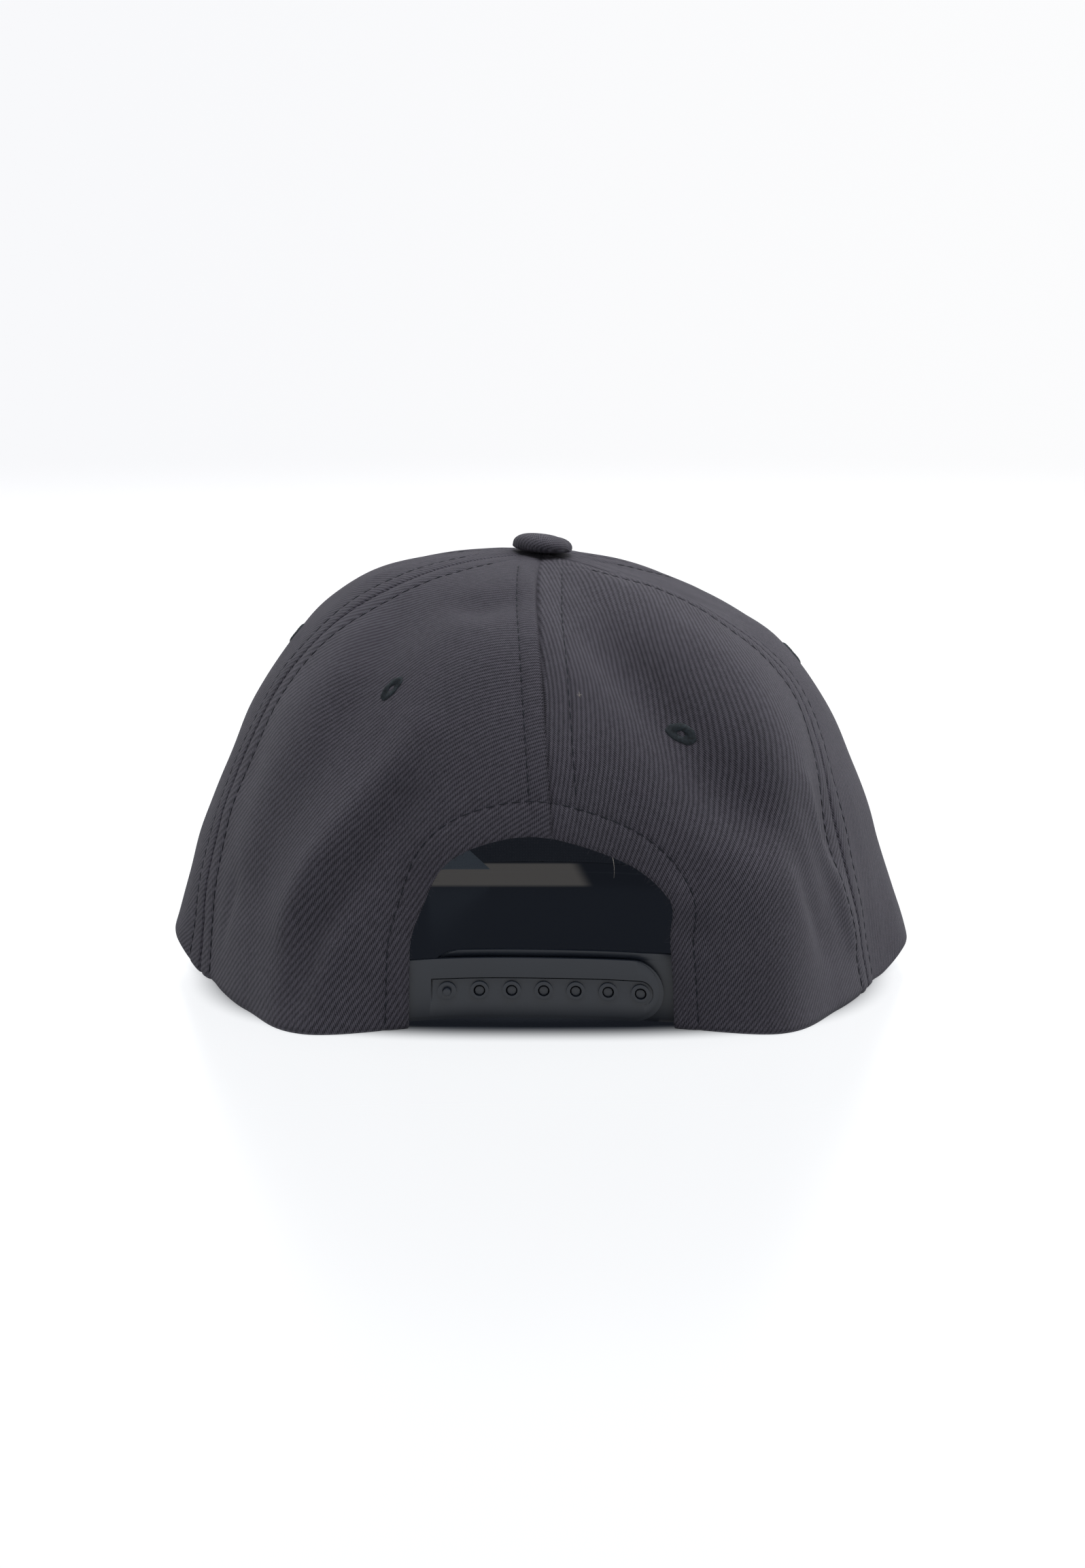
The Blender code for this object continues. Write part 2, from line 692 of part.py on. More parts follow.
def prism(name, outline, bottom, top, collection, material=None):
    """A closed prism over a flat outline, between two heights above the strap's back."""
    shape = bmesh.new()
    lower = [shape.verts.new((x, y, bottom)) for x, y in outline]
    floor = shape.faces.new(lower)
    raised = bmesh.ops.extrude_face_region(shape, geom=[floor])["geom"]
    bmesh.ops.translate(
        shape, vec=(0, 0, top - bottom), verts=[g for g in raised if isinstance(g, bmesh.types.BMVert)]
    )
    bmesh.ops.recalc_face_normals(shape, faces=shape.faces)
    mesh = bpy.data.meshes.new(name)
    shape.to_mesh(mesh)
    shape.free()
    made = bpy.data.objects.new(name, mesh)
    if material:
        mesh.materials.append(material)
    else:
        made.hide_render = True
        made.display_type = "WIRE"
    collection.objects.link(made)
    return made


def circle(along, up, radius, sides=ROUND_SIDES):
    turns = [2 * math.pi * i / sides for i in range(sides)]
    return [(along + radius * math.cos(a), up + radius * math.sin(a)) for a in turns]


def join_or_cut(target, tool, operation):
    step = target.modifiers.new(operation.title(), "BOOLEAN")
    step.operation = operation
    step.object = tool


def channel_outline(first, last):
    """Outline of the shallow channel round the snaps, square at its foot and round at its tip."""
    radius = CHANNEL_HALF_HEIGHT
    toward = 1 if last > first else -1
    steps = ROUND_SIDES // 2
    bend = [math.pi / 2 - math.pi * i / steps for i in range(steps + 1)]
    foot = first - toward * (RING_RADIUS + STRAP_BORDER)
    outline = [(foot, SNAP_HEIGHT + radius)]
    outline += [(last + toward * radius * math.cos(a), SNAP_HEIGHT + radius * math.sin(a)) for a in bend]
    outline.append((foot, SNAP_HEIGHT - radius))
    return outline


def wrap_strap(strap, depth_at):
    """Cuts a flat strap across so that it can bend, then lays it along the back of the crown."""
    shape = bmesh.new()
    shape.from_mesh(strap.data)
    spans = [v.co.x for v in shape.verts]
    low, high = min(spans), max(spans)
    for i in range(1, STRAP_CUTS):
        x = low + (high - low) * i / STRAP_CUTS
        bmesh.ops.bisect_plane(
            shape,
            geom=shape.verts[:] + shape.edges[:] + shape.faces[:],
            plane_co=(x, 0, 0),
            plane_no=(1, 0, 0),
            dist=1e-7,
        )
    bmesh.ops.triangulate(shape, faces=shape.faces)
    flat = np.array([v.co for v in shape.verts])
    turn = azimuth_at_distance(flat[:, 0])
    sag = STRAP_ARCHING * (flat[:, 0] / ARCH_HALF_WIDTH) ** 2
    rise = rise_at_height(np.maximum(STRAP_FLOOR_GAP + flat[:, 1] - sag + STRAP_ARCHING / 2, 0))
    laid = inside_crown(turn, rise, depth_at(flat[:, 0]) - flat[:, 2])
    for vertex, spot in zip(shape.verts, laid):
        vertex.co = spot
    bmesh.ops.reverse_faces(shape, faces=shape.faces)
    shape.to_mesh(strap.data)
    shape.free()


def make_hole_strap(parts, cutters, material):
    """The outer strap, fixed on the wearer's left, with a ringed hole for each peg."""
    snaps = snap_places()
    tip = snaps[-1] - SNAP_END_MARGIN
    foot = ARCH_HALF_WIDTH + STRAP_TAB
    strap = prism("strap_holes", strap_outline(tip, foot, 0), 0, STRAP_BASE, parts, material)
    raised = strap_outline(tip + STRAP_BORDER, foot, STRAP_BORDER)
    body = prism("holes_body", raised, STRAP_BASE / 2, STRAP_BASE + STRAP_STEP, cutters)
    join_or_cut(strap, body, "UNION")
    channel = prism("holes_channel", channel_outline(snaps[0], snaps[-1]), STRAP_BASE, STRAP_BASE * 3, cutters)
    join_or_cut(strap, channel, "DIFFERENCE")
    for i, along in enumerate(snaps):
        rim = circle(along, SNAP_HEIGHT, RING_RADIUS)
        ring = prism(f"ring_{i}", rim, STRAP_BASE / 2, STRAP_BASE + STRAP_STEP, cutters)
        join_or_cut(strap, ring, "UNION")
        bore = circle(along, SNAP_HEIGHT, HOLE_RADIUS)
        hole = prism(f"hole_{i}", bore, -STRAP_BASE, STRAP_BASE * 3, cutters)
        join_or_cut(strap, hole, "DIFFERENCE")
    bake_modifiers(strap)
    depth = PANEL_WALL + GAP + STRAP_BASE + STRAP_STEP
    wrap_strap(strap, lambda along: np.full(len(along), depth))
    smooth_shading(strap)


def make_peg_strap(parts, cutters, material):
    """The inner strap, fixed on the wearer's right, with a peg for each hole."""
    snaps = snap_places()
    tip = snaps[0] + SNAP_END_MARGIN
    foot = -ARCH_HALF_WIDTH - STRAP_TAB
    tall = STRAP_HEIGHT + PEG_STRAP_EXTRA
    strap = prism("strap_pegs", strap_outline(tip, foot, 0, tall), 0, STRAP_BASE, parts, material)
    raised = strap_outline(tip - STRAP_BORDER, foot, STRAP_BORDER, tall)
    body = prism("pegs_body", raised, STRAP_BASE / 2, STRAP_BASE + STRAP_STEP, cutters)
    join_or_cut(strap, body, "UNION")
    outer_face = STRAP_BASE + STRAP_STEP + GAP + STRAP_BASE + STRAP_STEP
    for i, along in enumerate(snaps):
        reach = outer_face + GUIDE_PEG_REACH if i == 0 else outer_face - PEG_RECESS
        shank = circle(along, SNAP_HEIGHT, HOLE_RADIUS - PEG_CLEARANCE, ROUND_SIDES - 4)
        peg = prism(f"peg_{i}", shank, STRAP_BASE / 2, reach, cutters)
        join_or_cut(strap, peg, "UNION")
    bake_modifiers(strap)
    near = PANEL_WALL + GAP + STRAP_BASE + STRAP_STEP
    deep = near + GAP + STRAP_BASE + STRAP_STEP

    def depth_at(along):
        fade = np.clip((-along - ARCH_HALF_WIDTH) / (STRAP_TAB * 0.8), 0, 1)
        return deep + (near - deep) * fade * fade * (3 - 2 * fade)

    wrap_strap(strap, depth_at)
    smooth_shading(strap)


def shift_to_origin(parts):
    """The move that puts the middle of the cap's footprint at the origin."""
    bpy.context.view_layer.update()
    graph = bpy.context.evaluated_depsgraph_get()
    corners = []
    for piece in parts.objects:
        held = piece.evaluated_get(graph)
        corners += [held.matrix_world @ Vector(c) for c in held.bound_box]
    low = Vector(map(min, *corners))
    high = Vector(map(max, *corners))
    return Vector((-(low.x + high.x) / 2, -(low.y + high.y) / 2, -low.z))


def main():
    clear_scene()
    parts = bpy.data.collections.new("snapback cap")
    cutters = bpy.data.collections.new("cutters")
    bpy.context.scene.collection.children.link(parts)
    bpy.context.scene.collection.children.link(cutters)
    twill = material_named("twill", (0.055, 0.052, 0.062), 0.9)
    thread = material_named("thread", (0.045, 0.052, 0.060), 0.7)
    plastic = material_named("plastic", (0.040, 0.046, 0.055), 0.5)
    satin = material_named("satin", (0.015, 0.015, 0.018), 0.6)
    make_panels(parts, cutters, twill)
    make_button(parts, twill)
    make_eyelets(parts, thread)
    make_brim(parts, twill)
    make_sweatband(parts, satin)
    make_tag(parts, satin)
    make_hole_strap(parts, cutters, plastic)
    make_peg_strap(parts, cutters, plastic)
    shift = shift_to_origin(parts)
    for piece in list(parts.objects) + list(cutters.objects):
        piece.location += shift


main()
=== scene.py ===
"""A charcoal twill snapback cap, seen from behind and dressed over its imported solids."""

import math
from collections import namedtuple

import bmesh
import bpy
import numpy as np
from mathutils import Matrix, Vector


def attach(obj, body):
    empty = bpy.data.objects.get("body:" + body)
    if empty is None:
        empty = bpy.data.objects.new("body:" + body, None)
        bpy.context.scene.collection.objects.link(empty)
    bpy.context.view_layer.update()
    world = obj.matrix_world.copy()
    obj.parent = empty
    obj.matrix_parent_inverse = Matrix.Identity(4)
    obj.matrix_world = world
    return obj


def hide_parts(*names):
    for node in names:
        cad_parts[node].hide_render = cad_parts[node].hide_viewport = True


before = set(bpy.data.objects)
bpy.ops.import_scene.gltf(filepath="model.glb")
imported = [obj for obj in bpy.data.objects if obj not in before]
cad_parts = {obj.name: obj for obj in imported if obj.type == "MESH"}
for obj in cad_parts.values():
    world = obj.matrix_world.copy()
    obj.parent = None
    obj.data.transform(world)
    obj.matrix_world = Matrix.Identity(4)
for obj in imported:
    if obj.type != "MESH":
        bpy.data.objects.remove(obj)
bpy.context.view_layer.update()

# The view: a camera standing behind the cap, a little above it and tipped down, as in the photograph.
MM = 0.001
CAP_AXIS = Vector((-0.000416, 0.033493, 0.0))
CAMERA_PLACE = CAP_AXIS + Vector((0.0, 0.761, 0.193))
CAMERA_DIP = 11.1
CAMERA_LENS = 67.1

bpy.ops.object.select_all(action="DESELECT")
bpy.ops.object.camera_add(
    location=CAMERA_PLACE, rotation=(math.radians(90 - CAMERA_DIP), 0, math.radians(180))
)
camera = bpy.context.object
camera.data.lens = CAMERA_LENS
camera.data.sensor_width = 36
camera.data.clip_end = 20
bpy.context.scene.camera = camera

# The table and the light: a white table, overexposed in the photograph, that runs into a bright sweep.
# Light comes from above and behind. Most of the table's white is a painted glow that no shadow touches, which
# fills in the cap's cast shadow. Under the cap the table is painted dark as painted shade, lit only by a dim
# painted fill and a painted pool of light near the front.
TABLE_SIZE = 4.0
TABLE_WHITE = (0.058, 0.056, 0.054, 1)
# Base colour of the table under the cap, painted darker as painted shade.
TABLE_PAINTED_SHADE = (0.030, 0.034, 0.040, 1)
# Painted light: the table's glow, which fills in the cap's cast shadow, tinted bluish as the shadows are.
TABLE_PAINTED_GLOW = (0.835, 0.850, 0.870, 1)
# Painted pool of light on the table inside the cap near its front, where light comes in under the front rim.
PAINTED_POOL_OF_LIGHT = (0.052, 0.050, 0.049, 1)
# Painted fill light: a dim glow for the table and the sweatband in the shade under the cap.
PAINTED_FILL_UNDER_CAP = (0.0072, 0.0086, 0.0118, 1)
ROOM_LEFT = (0.940, 0.945, 0.965, 1)
ROOM_RIGHT = (0.970, 0.972, 0.980, 1)
DIM_ROOM = (0.070, 0.074, 0.086, 1)
BAND_TOP = 0.16
SWEEP_TOP = 0.55
bpy.context.scene.view_settings.view_transform = "Standard"


def node_maker(tree):
    """A short way to add nodes to a tree and join them up."""

    def add(kind, settings=None, **inputs):
        node = tree.nodes.new(kind)
        for key, value in (settings or {}).items():
            setattr(node, key, value)
        for key, value in inputs.items():
            socket = node.inputs[int(key[1:])] if key[0] == "i" and key[1:].isdigit() else node.inputs[key]
            if isinstance(value, bpy.types.NodeSocket):
                tree.links.new(value, socket)
            else:
                socket.default_value = value
        return node

    return add


def smooth_step(add, value, low, high, to_low=0.0, to_high=1.0):
    step = add("ShaderNodeMapRange", {"interpolation_type": "SMOOTHSTEP"}, Value=value)
    for name, number in (("From Min", low), ("From Max", high), ("To Min", to_low), ("To Max", to_high)):
        step.inputs[name].default_value = number
    return step.outputs["Result"]


def blend(add, share, first, second):
    return add("ShaderNodeMix", {"data_type": "RGBA"}, i0=share, i6=first, i7=second).outputs[2]


def arithmetic(add):
    """A short way to write sums between nodes."""

    def maths(operation, first, second=0.0, third=0.0):
        return add("ShaderNodeMath", {"operation": operation}, i0=first, i1=second, i2=third).outputs[0]

    return maths


def new_material(name):
    """A fresh material with its node maker and its principled shader."""
    made = bpy.data.materials.new(name)
    made.use_nodes = True
    return made, node_maker(made.node_tree), made.node_tree.nodes["Principled BSDF"]


def set_surface(shader, **values):
    """Sets or joins the shader's inputs, named with underscores for spaces."""
    for name, value in values.items():
        socket = shader.inputs[name.replace("_", " ")]
        if isinstance(value, bpy.types.NodeSocket):
            socket.id_data.links.new(value, socket)
        else:
            socket.default_value = value


def primitive(maker, **settings):
    """A fresh object from one of Blender's own shapes."""
    bpy.ops.object.select_all(action="DESELECT")
    maker(**settings)
    return bpy.context.object


table = primitive(bpy.ops.mesh.primitive_plane_add, size=TABLE_SIZE, location=(0, 0, -0.0002))
table.name = "white_table"
white, add, shader = new_material("white table")
maths = arithmetic(add)
on_table = add("ShaderNodeTexCoord").outputs["Object"]
spot = add("ShaderNodeSeparateXYZ", Vector=on_table)
from_middle = maths("SUBTRACT", spot.outputs["Y"], CAP_AXIS.y)
sideways = maths("POWER", maths("ABSOLUTE", maths("DIVIDE", spot.outputs["X"], 0.100)), 3.0)
lengthways = maths("MAXIMUM", maths("DIVIDE", from_middle, 0.102), maths("DIVIDE", from_middle, -0.155))
footprint = maths("POWER", maths("ADD", sideways, maths("POWER", lengthways, 3.0)), 1 / 3)
# Share of the table beyond the cap's footprint. Where it falls off, the table takes its painted shade colour
# and loses its painted glow, which paints the dark under the cap and a soft painted contact shadow round its
# rim.
outside = smooth_step(add, footprint, 0.79, 0.93)

# Where the painted pool of light lies: a strip of table just inside the front of the cap.
in_painted_pool = maths(
    "MULTIPLY",
    maths(
        "MULTIPLY",
        smooth_step(add, maths("MULTIPLY_ADD", from_middle, 0.11, spot.outputs["X"]), -0.0235, -0.0190),
        smooth_step(add, from_middle, -0.1010, -0.0975),
    ),
    smooth_step(add, from_middle, -0.0720, -0.0670, 1.0, 0.0),
)
# Painted light under the cap: the dim painted fill, with the painted pool of light in it.
painted_glow = blend(add, in_painted_pool, PAINTED_FILL_UNDER_CAP, PAINTED_POOL_OF_LIGHT)
# The emission is painted light: a glow that no shadow touches, so it fills the cap's cast shadow, and under
# the cap it gives way to the painted fill.
set_surface(
    shader,
    Base_Color=blend(add, outside, TABLE_PAINTED_SHADE, TABLE_WHITE),
    Emission_Color=blend(add, outside, painted_glow, TABLE_PAINTED_GLOW),
    Emission_Strength=1.0,
    Roughness=0.22,
    Specular_IOR_Level=0.18,
)
far_off = add("ShaderNodeVectorMath", {"operation": "LENGTH"}, i0=on_table).outputs["Value"]
clear = add("ShaderNodeBsdfTransparent").outputs[0]
faded = add(
    "ShaderNodeMixShader", i0=smooth_step(add, far_off, 0.35, 1.6), i1=shader.outputs["BSDF"], i2=clear
).outputs[0]
white.node_tree.links.new(faded, white.node_tree.nodes["Material Output"].inputs["Surface"])
table.data.materials.append(white)

room = bpy.data.worlds.new("white sweep")
room.use_nodes = True
add = node_maker(room.node_tree)
maths = arithmetic(add)
split = add("ShaderNodeSeparateXYZ", Vector=add("ShaderNodeTexCoord").outputs["Generated"])
low_band = smooth_step(add, split.outputs["Z"], BAND_TOP, BAND_TOP * 1.8, 1.0, 0.0)
sweep = maths(
    "MULTIPLY",
    smooth_step(add, split.outputs["Z"], SWEEP_TOP, SWEEP_TOP * 1.6, 1.0, 0.0),
    smooth_step(add, split.outputs["Y"], -0.35, 0.25, 1.0, 0.0),
)
bright = blend(add, smooth_step(add, split.outputs["X"], -0.20, 0.20), ROOM_RIGHT, ROOM_LEFT)
seen = blend(add, maths("MAXIMUM", low_band, sweep), DIM_ROOM, bright)
room.node_tree.links.new(seen, room.node_tree.nodes["Background"].inputs["Color"])
bpy.context.scene.world = room

SUNS = (
    ("overhead", (-0.10, 0.02, 1.0), 60, 4.4),
    ("behind_right", (-0.9, -0.55, 0.55), 40, 1.3),
    ("behind_left", (0.9, -0.65, 0.5), 40, 0.2),
)
for name, place, spread, power in SUNS:
    bpy.ops.object.light_add(type="SUN", location=place)
    lamp = bpy.context.object
    lamp.name = "lamp_" + name
    lamp.data.angle = math.radians(spread)
    lamp.data.energy = power
    lamp.rotation_euler = Vector(place).to_track_quat("Z", "Y").to_euler()

# The crown panels: six pieces of wool blend twill, each cut on its own centre line and sewn edge to
# edge. Azimuth is degrees from the back, positive to the wearer's left, and rise runs from rim to top.
CROWN_WIDTH = 0.194
CROWN_LENGTH = 0.176
CROWN_HEIGHT = 0.106
FOLD_DEPTH = 0.010
RIM_LIFT = 0.008
RIGHT_LIFT_SHARE = 0.68
PANEL_WALL = 0.0018
SEAM_GAP = -0.00006
TOP_HOLE_RADIUS = 0.0030
FRONT_SIDE_SEAM = 122.0
FRONT_SEAM = 180.0
ARCH_HALF_WIDTH = 0.0313
ARCH_TOP = 0.0470

Section = namedtuple("Section", "azimuth rim low middle shoulder crest top lift")
Seams = namedtuple("Seams", "rise back left right")
Fold = namedtuple("Fold", "azimuth rise turn reach lean push")

# Radii are shares of the plan ellipse's radius, and lift is a share of RIM_LIFT.
SECTIONS = (
    Section(0, 0.955, 0.960, 0.935, 0.835, 0.650, 0.370, 0.00),
    Section(20, 1.000, 0.995, 0.965, 0.850, 0.660, 0.375, 0.00),
    Section(33, 1.165, 1.105, 1.020, 0.880, 0.675, 0.380, 0.00),
    Section(48, 1.065, 1.030, 0.970, 0.850, 0.650, 0.370, 0.00),
    Section(64, 0.985, 0.955, 0.890, 0.775, 0.610, 0.355, 0.00),
    Section(71, 0.985, 0.950, 0.880, 0.760, 0.595, 0.350, 0.10),
    Section(79, 1.010, 0.950, 0.870, 0.750, 0.585, 0.345, 0.75),
    Section(95, 0.995, 0.945, 0.865, 0.745, 0.580, 0.345, 1.00),
    Section(122, 0.995, 0.965, 0.905, 0.785, 0.600, 0.355, 0.30),
    Section(150, 1.015, 1.005, 0.970, 0.850, 0.640, 0.370, 0.33),
    Section(180, 1.000, 0.998, 0.975, 0.865, 0.655, 0.375, 0.38),
)
STATION_HEIGHTS = np.array([0.0, 0.22, 0.45, 0.68, 0.85, 0.96, 1.0])

SEAMS = (
    Seams(0.00, -1.0, 70.0, -61.0),
    Seams(0.20, -1.5, 71.0, -58.0),
    Seams(0.35, -1.5, 71.0, -59.0),
    Seams(0.50, -0.5, 68.0, -65.0),
    Seams(0.65, 0.5, 61.0, -62.0),
    Seams(0.80, 2.0, 54.0, -55.0),
    Seams(1.00, 4.0, 48.0, -48.0),
)

# Turn is degrees, reach a share of the rise, lean degrees per unit of rise, push a share of FOLD_DEPTH.
FOLDS = (
    Fold(80, 0.76, 45, 0.18, 0, 0.31),
    Fold(-95, 0.79, 55, 0.22, 0, -0.38),
    Fold(-85, 0.90, 50, 0.10, 0, -0.13),
    Fold(-95, 0.25, 30, 0.30, 0, -0.17),
    Fold(14, 0.58, 9, 0.15, 0, 0.12),
    Fold(29, 0.42, 7, 0.20, 25, -0.20),
    Fold(43, 0.45, 8, 0.20, 10, 0.12),
    Fold(-20, 0.57, 7, 0.20, 63, -0.28),
    Fold(-40, 0.52, 8, 0.16, 20, 0.22),
    Fold(-31, 0.36, 7, 0.07, 0, -0.16),
    Fold(-39, 0.24, 6, 0.13, -20, 0.16),
    Fold(-53, 0.28, 7, 0.13, -15, -0.34),
)


def bell(gap, width):
    """1 in the middle, falling smoothly away over this width."""
    return np.exp(-((gap / width) ** 2))


def smoothed(line, reach):
    """A line evened out over this many places to each side."""
    window = np.ones(2 * reach + 1) / (2 * reach + 1)
    return np.convolve(np.pad(line, reach, mode="edge"), window, "valid")


def eased(share):
    """A share kept between 0 and 1 that starts and ends gently."""
    share = np.clip(share, 0, 1)
    return share * share * (3 - 2 * share)


def unit(vectors):
    """The same directions at length one."""
    return vectors / np.linalg.norm(vectors, axis=-1, keepdims=True)


def length_along(points):
    """Distance travelled along a line of points, from its start."""
    return np.concatenate([[0], np.cumsum(np.linalg.norm(np.diff(points, axis=0), axis=1))])


def cubic(start, end, leaving, arriving, place):
    """Curve from start to end with these slopes at its two ends."""
    return (
        start * (2 * place**3 - 3 * place**2 + 1)
        + leaving * (place**3 - 2 * place**2 + place)
        + end * (3 * place**2 - 2 * place**3)
        + arriving * (place**3 - place**2)
    )


def hermite(before, start, end, after, place):
    """Curve from start to end whose slopes come from their neighbours."""
    return cubic(start, end, (end - before) / 2, (after - start) / 2, place)


def section_rows(azimuth):
    """The section table's columns at each azimuth, mirrored about the cap's middle plane."""
    half = np.array([list(row) for row in SECTIONS], float)
    mirror = half[1:-1][::-1].copy()
    mirror[:, 0] = 360 - mirror[:, 0]
    ring = np.vstack([half, mirror])
    rows = np.vstack([ring[-2:], ring, ring[:3]])
    rows[:2, 0] -= 360
    rows[-3:, 0] += 360
    knots = rows[:, 0]
    turn = azimuth % 360
    i = np.clip(np.searchsorted(knots, turn, side="right") - 1, 1, len(knots) - 3)
    span = (knots[i + 1] - knots[i])[:, None]
    slopes = (rows[2:, 1:] - rows[:-2, 1:]) / (knots[2:] - knots[:-2])[:, None]
    place = (turn - knots[i])[:, None] / span
    return cubic(rows[i, 1:], rows[i + 1, 1:], slopes[i - 1] * span, slopes[i] * span, place)


def height_share(rise):
    """Height above the rim as a share of the crown's height."""
    last = len(STATION_HEIGHTS) - 1
    line = np.concatenate([[-STATION_HEIGHTS[1]], STATION_HEIGHTS, [STATION_HEIGHTS[-2]]])
    at = np.clip(rise, 0, 1) * last
    i = np.minimum(np.asarray(at).astype(int), last - 1)
    return hermite(line[i], line[i + 1], line[i + 2], line[i + 3], at - i)


def rise_at_height(height):
    """The rise at which the crown stands this far above its rim."""
    steps = np.linspace(0, 1, 401)
    return np.interp(height, height_share(steps) * CROWN_HEIGHT, steps)


def crown_points(azimuth, rise):
    """Points on the outside of the crown, in the cap's own frame."""
    azimuth, rise = np.broadcast_arrays(np.atleast_1d(np.asarray(azimuth, float)), np.asarray(rise, float))
    shape = azimuth.shape
    azimuth = azimuth.ravel()
    rise = rise.ravel()
    rows = section_rows(azimuth)
    shares = np.hstack([rows[:, :6], np.zeros((len(rows), 1))])
    line = np.hstack([2 * shares[:, :1] - shares[:, 1:2], shares, -shares[:, 5:6]])
    last = shares.shape[1] - 1
    at = np.clip(rise, 0, 1) * last
    i = np.minimum(at.astype(int), last - 1)
    each = np.arange(len(i))
    share = hermite(line[each, i], line[each, i + 1], line[each, i + 2], line[each, i + 3], at - i)
    turn = np.radians(azimuth)
    ellipse = 1 / np.hypot(np.sin(turn) / (CROWN_WIDTH / 2), np.cos(turn) / (CROWN_LENGTH / 2))
    radius = share * ellipse
    drop = 1 - (1 - RIGHT_LIFT_SHARE) * np.clip(-np.sin(turn), 0, 1)
    height = height_share(rise) * CROWN_HEIGHT + rows[:, 6] * RIM_LIFT * drop * (1 - rise) ** 3
    swell = np.zeros(len(radius))
    for fold in FOLDS:
        middle = fold.azimuth + fold.lean * (rise - fold.rise)
        away = (azimuth - middle + 180) % 360 - 180
        swell += fold.push * np.exp(-((away / fold.turn) ** 2) - ((rise - fold.rise) / fold.reach) ** 2)
    swell *= FOLD_DEPTH * (1 - rise**8)
    facing = math.pi / 2 * rise**1.6
    radius = radius + swell * np.cos(facing)
    height = height + swell * np.sin(facing)
    points = np.stack([radius * np.sin(turn), radius * np.cos(turn), height], axis=1)
    return points.reshape(*shape, 3)


def crown_normals(azimuth, rise):
    """Outward directions of the crown's surface."""
    low = np.clip(np.asarray(rise, float) - 0.003, 0, 0.994)
    high = np.clip(np.asarray(rise, float) + 0.003, 0.006, 1)
    around = crown_points(azimuth + 0.3, rise) - crown_points(azimuth - 0.3, rise)
    upward = crown_points(azimuth, high) - crown_points(azimuth, low)
    return unit(np.cross(upward, around))


def on_crown(azimuth, rise, outward=0.0):
    """Points this far outside the crown's surface, in the row's frame."""
    lifted = crown_points(azimuth, rise) + crown_normals(azimuth, rise) * np.asarray(outward)[..., None]
    return lifted + np.array(CAP_AXIS)


RIM_TURNS = np.linspace(-90, 90, 1441)
rim_line = crown_points(RIM_TURNS, rise_at_height(0.00725))
rim_travel = length_along(rim_line)
rim_travel -= np.interp(0, RIM_TURNS, rim_travel)


def azimuth_at_distance(distance):
    """Azimuth of a point this far round the crown from its back, measured near the rim."""
    return np.interp(distance, rim_travel, RIM_TURNS)


def distance_at_azimuth(azimuth):
    """How far round the crown from its back a place is, measured near the rim."""
    return np.interp(azimuth, RIM_TURNS, rim_travel)


def seam_azimuth(seam, rise):
    """Azimuth of a named seam at each rise."""
    fixed = {"front_left": FRONT_SIDE_SEAM, "front_right": -FRONT_SIDE_SEAM, "front": FRONT_SEAM}
    if seam in fixed:
        return np.full(np.shape(rise), fixed[seam])
    knots = np.array([row.rise for row in SEAMS])
    azimuths = np.array([getattr(row, seam) for row in SEAMS])
    fine = np.linspace(0, 1, 101)
    return np.interp(rise, fine, smoothed(np.interp(fine, knots, azimuths), 5))


# The arch's edge in millimetres, from the foot of each hem to the top: distance round the crown from its
# back, positive to the wearer's left, and height above the rim.
ARCH_LEFT = (
    (31.9, 0.0), (31.9, 12.0), (31.9, 21.0), (31.2, 24.4), (30.0, 27.6), (28.6, 31.0), (27.2, 34.5),
    (25.2, 38.4), (22.0, 41.5), (17.7, 43.9), (13.0, 45.5), (7.8, 46.7), (2.6, 47.1),
)
ARCH_RIGHT = (
    (-31.5, 0.0), (-31.2, 12.0), (-30.6, 21.0), (-30.7, 24.4), (-31.4, 27.8), (-31.1, 31.0), (-28.9, 33.8),
    (-26.5, 36.3), (-23.8, 38.4), (-21.0, 40.2), (-18.0, 41.6), (-14.8, 42.9), (-11.0, 44.3), (-6.9, 45.5),
    (-2.8, 46.5),
)
arch_line = np.array(ARCH_LEFT + ARCH_RIGHT[::-1]) * MM
arch_travel = length_along(arch_line)
even = np.linspace(0, arch_travel[-1], 1201)
arch_across, arch_up = (smoothed(np.interp(even, arch_travel, arch_line[:, k]), 14) for k in range(2))
arch_up[[0, -1]] = 0
arch_travel = np.concatenate([[0], np.cumsum(np.hypot(np.diff(arch_across), np.diff(arch_up)))])
arch_turn = azimuth_at_distance(arch_across)
arch_rise = rise_at_height(arch_up)
arch_from_foot = np.minimum(arch_travel, arch_travel[-1] - arch_travel)


def arch_edge(side, steps):
    """Azimuth and rise at even steps along one side of the arch, from the hem's foot to the seam."""
    seam = seam_azimuth("back", arch_rise)
    mine = arch_turn > seam if side == "left" else arch_turn < seam
    at = np.linspace(arch_from_foot[mine].min(), arch_travel[mine][-1 if side == "left" else 0], steps)
    if side == "right":
        at = np.linspace(arch_travel[-1], arch_travel[mine][0], steps)
    return np.interp(at, arch_travel, arch_turn), np.interp(at, arch_travel, arch_rise)


def arch_distance(azimuth, rise):
    """Each place's distance from the arch's edge, and how far up the hem that edge's nearest point is."""
    across = distance_at_azimuth(azimuth)
    up = height_share(rise) * CROWN_HEIGHT
    edge = np.empty(len(across))
    along = np.empty(len(across))
    for part in np.array_split(np.arange(len(across)), 12):
        gaps = np.hypot(across[part][:, None] - arch_across[::3], up[part][:, None] - arch_up[::3])
        nearest = np.argmin(gaps, axis=1)
        edge[part] = gaps[np.arange(len(part)), nearest]
        along[part] = arch_from_foot[::3][nearest]
    return edge, along


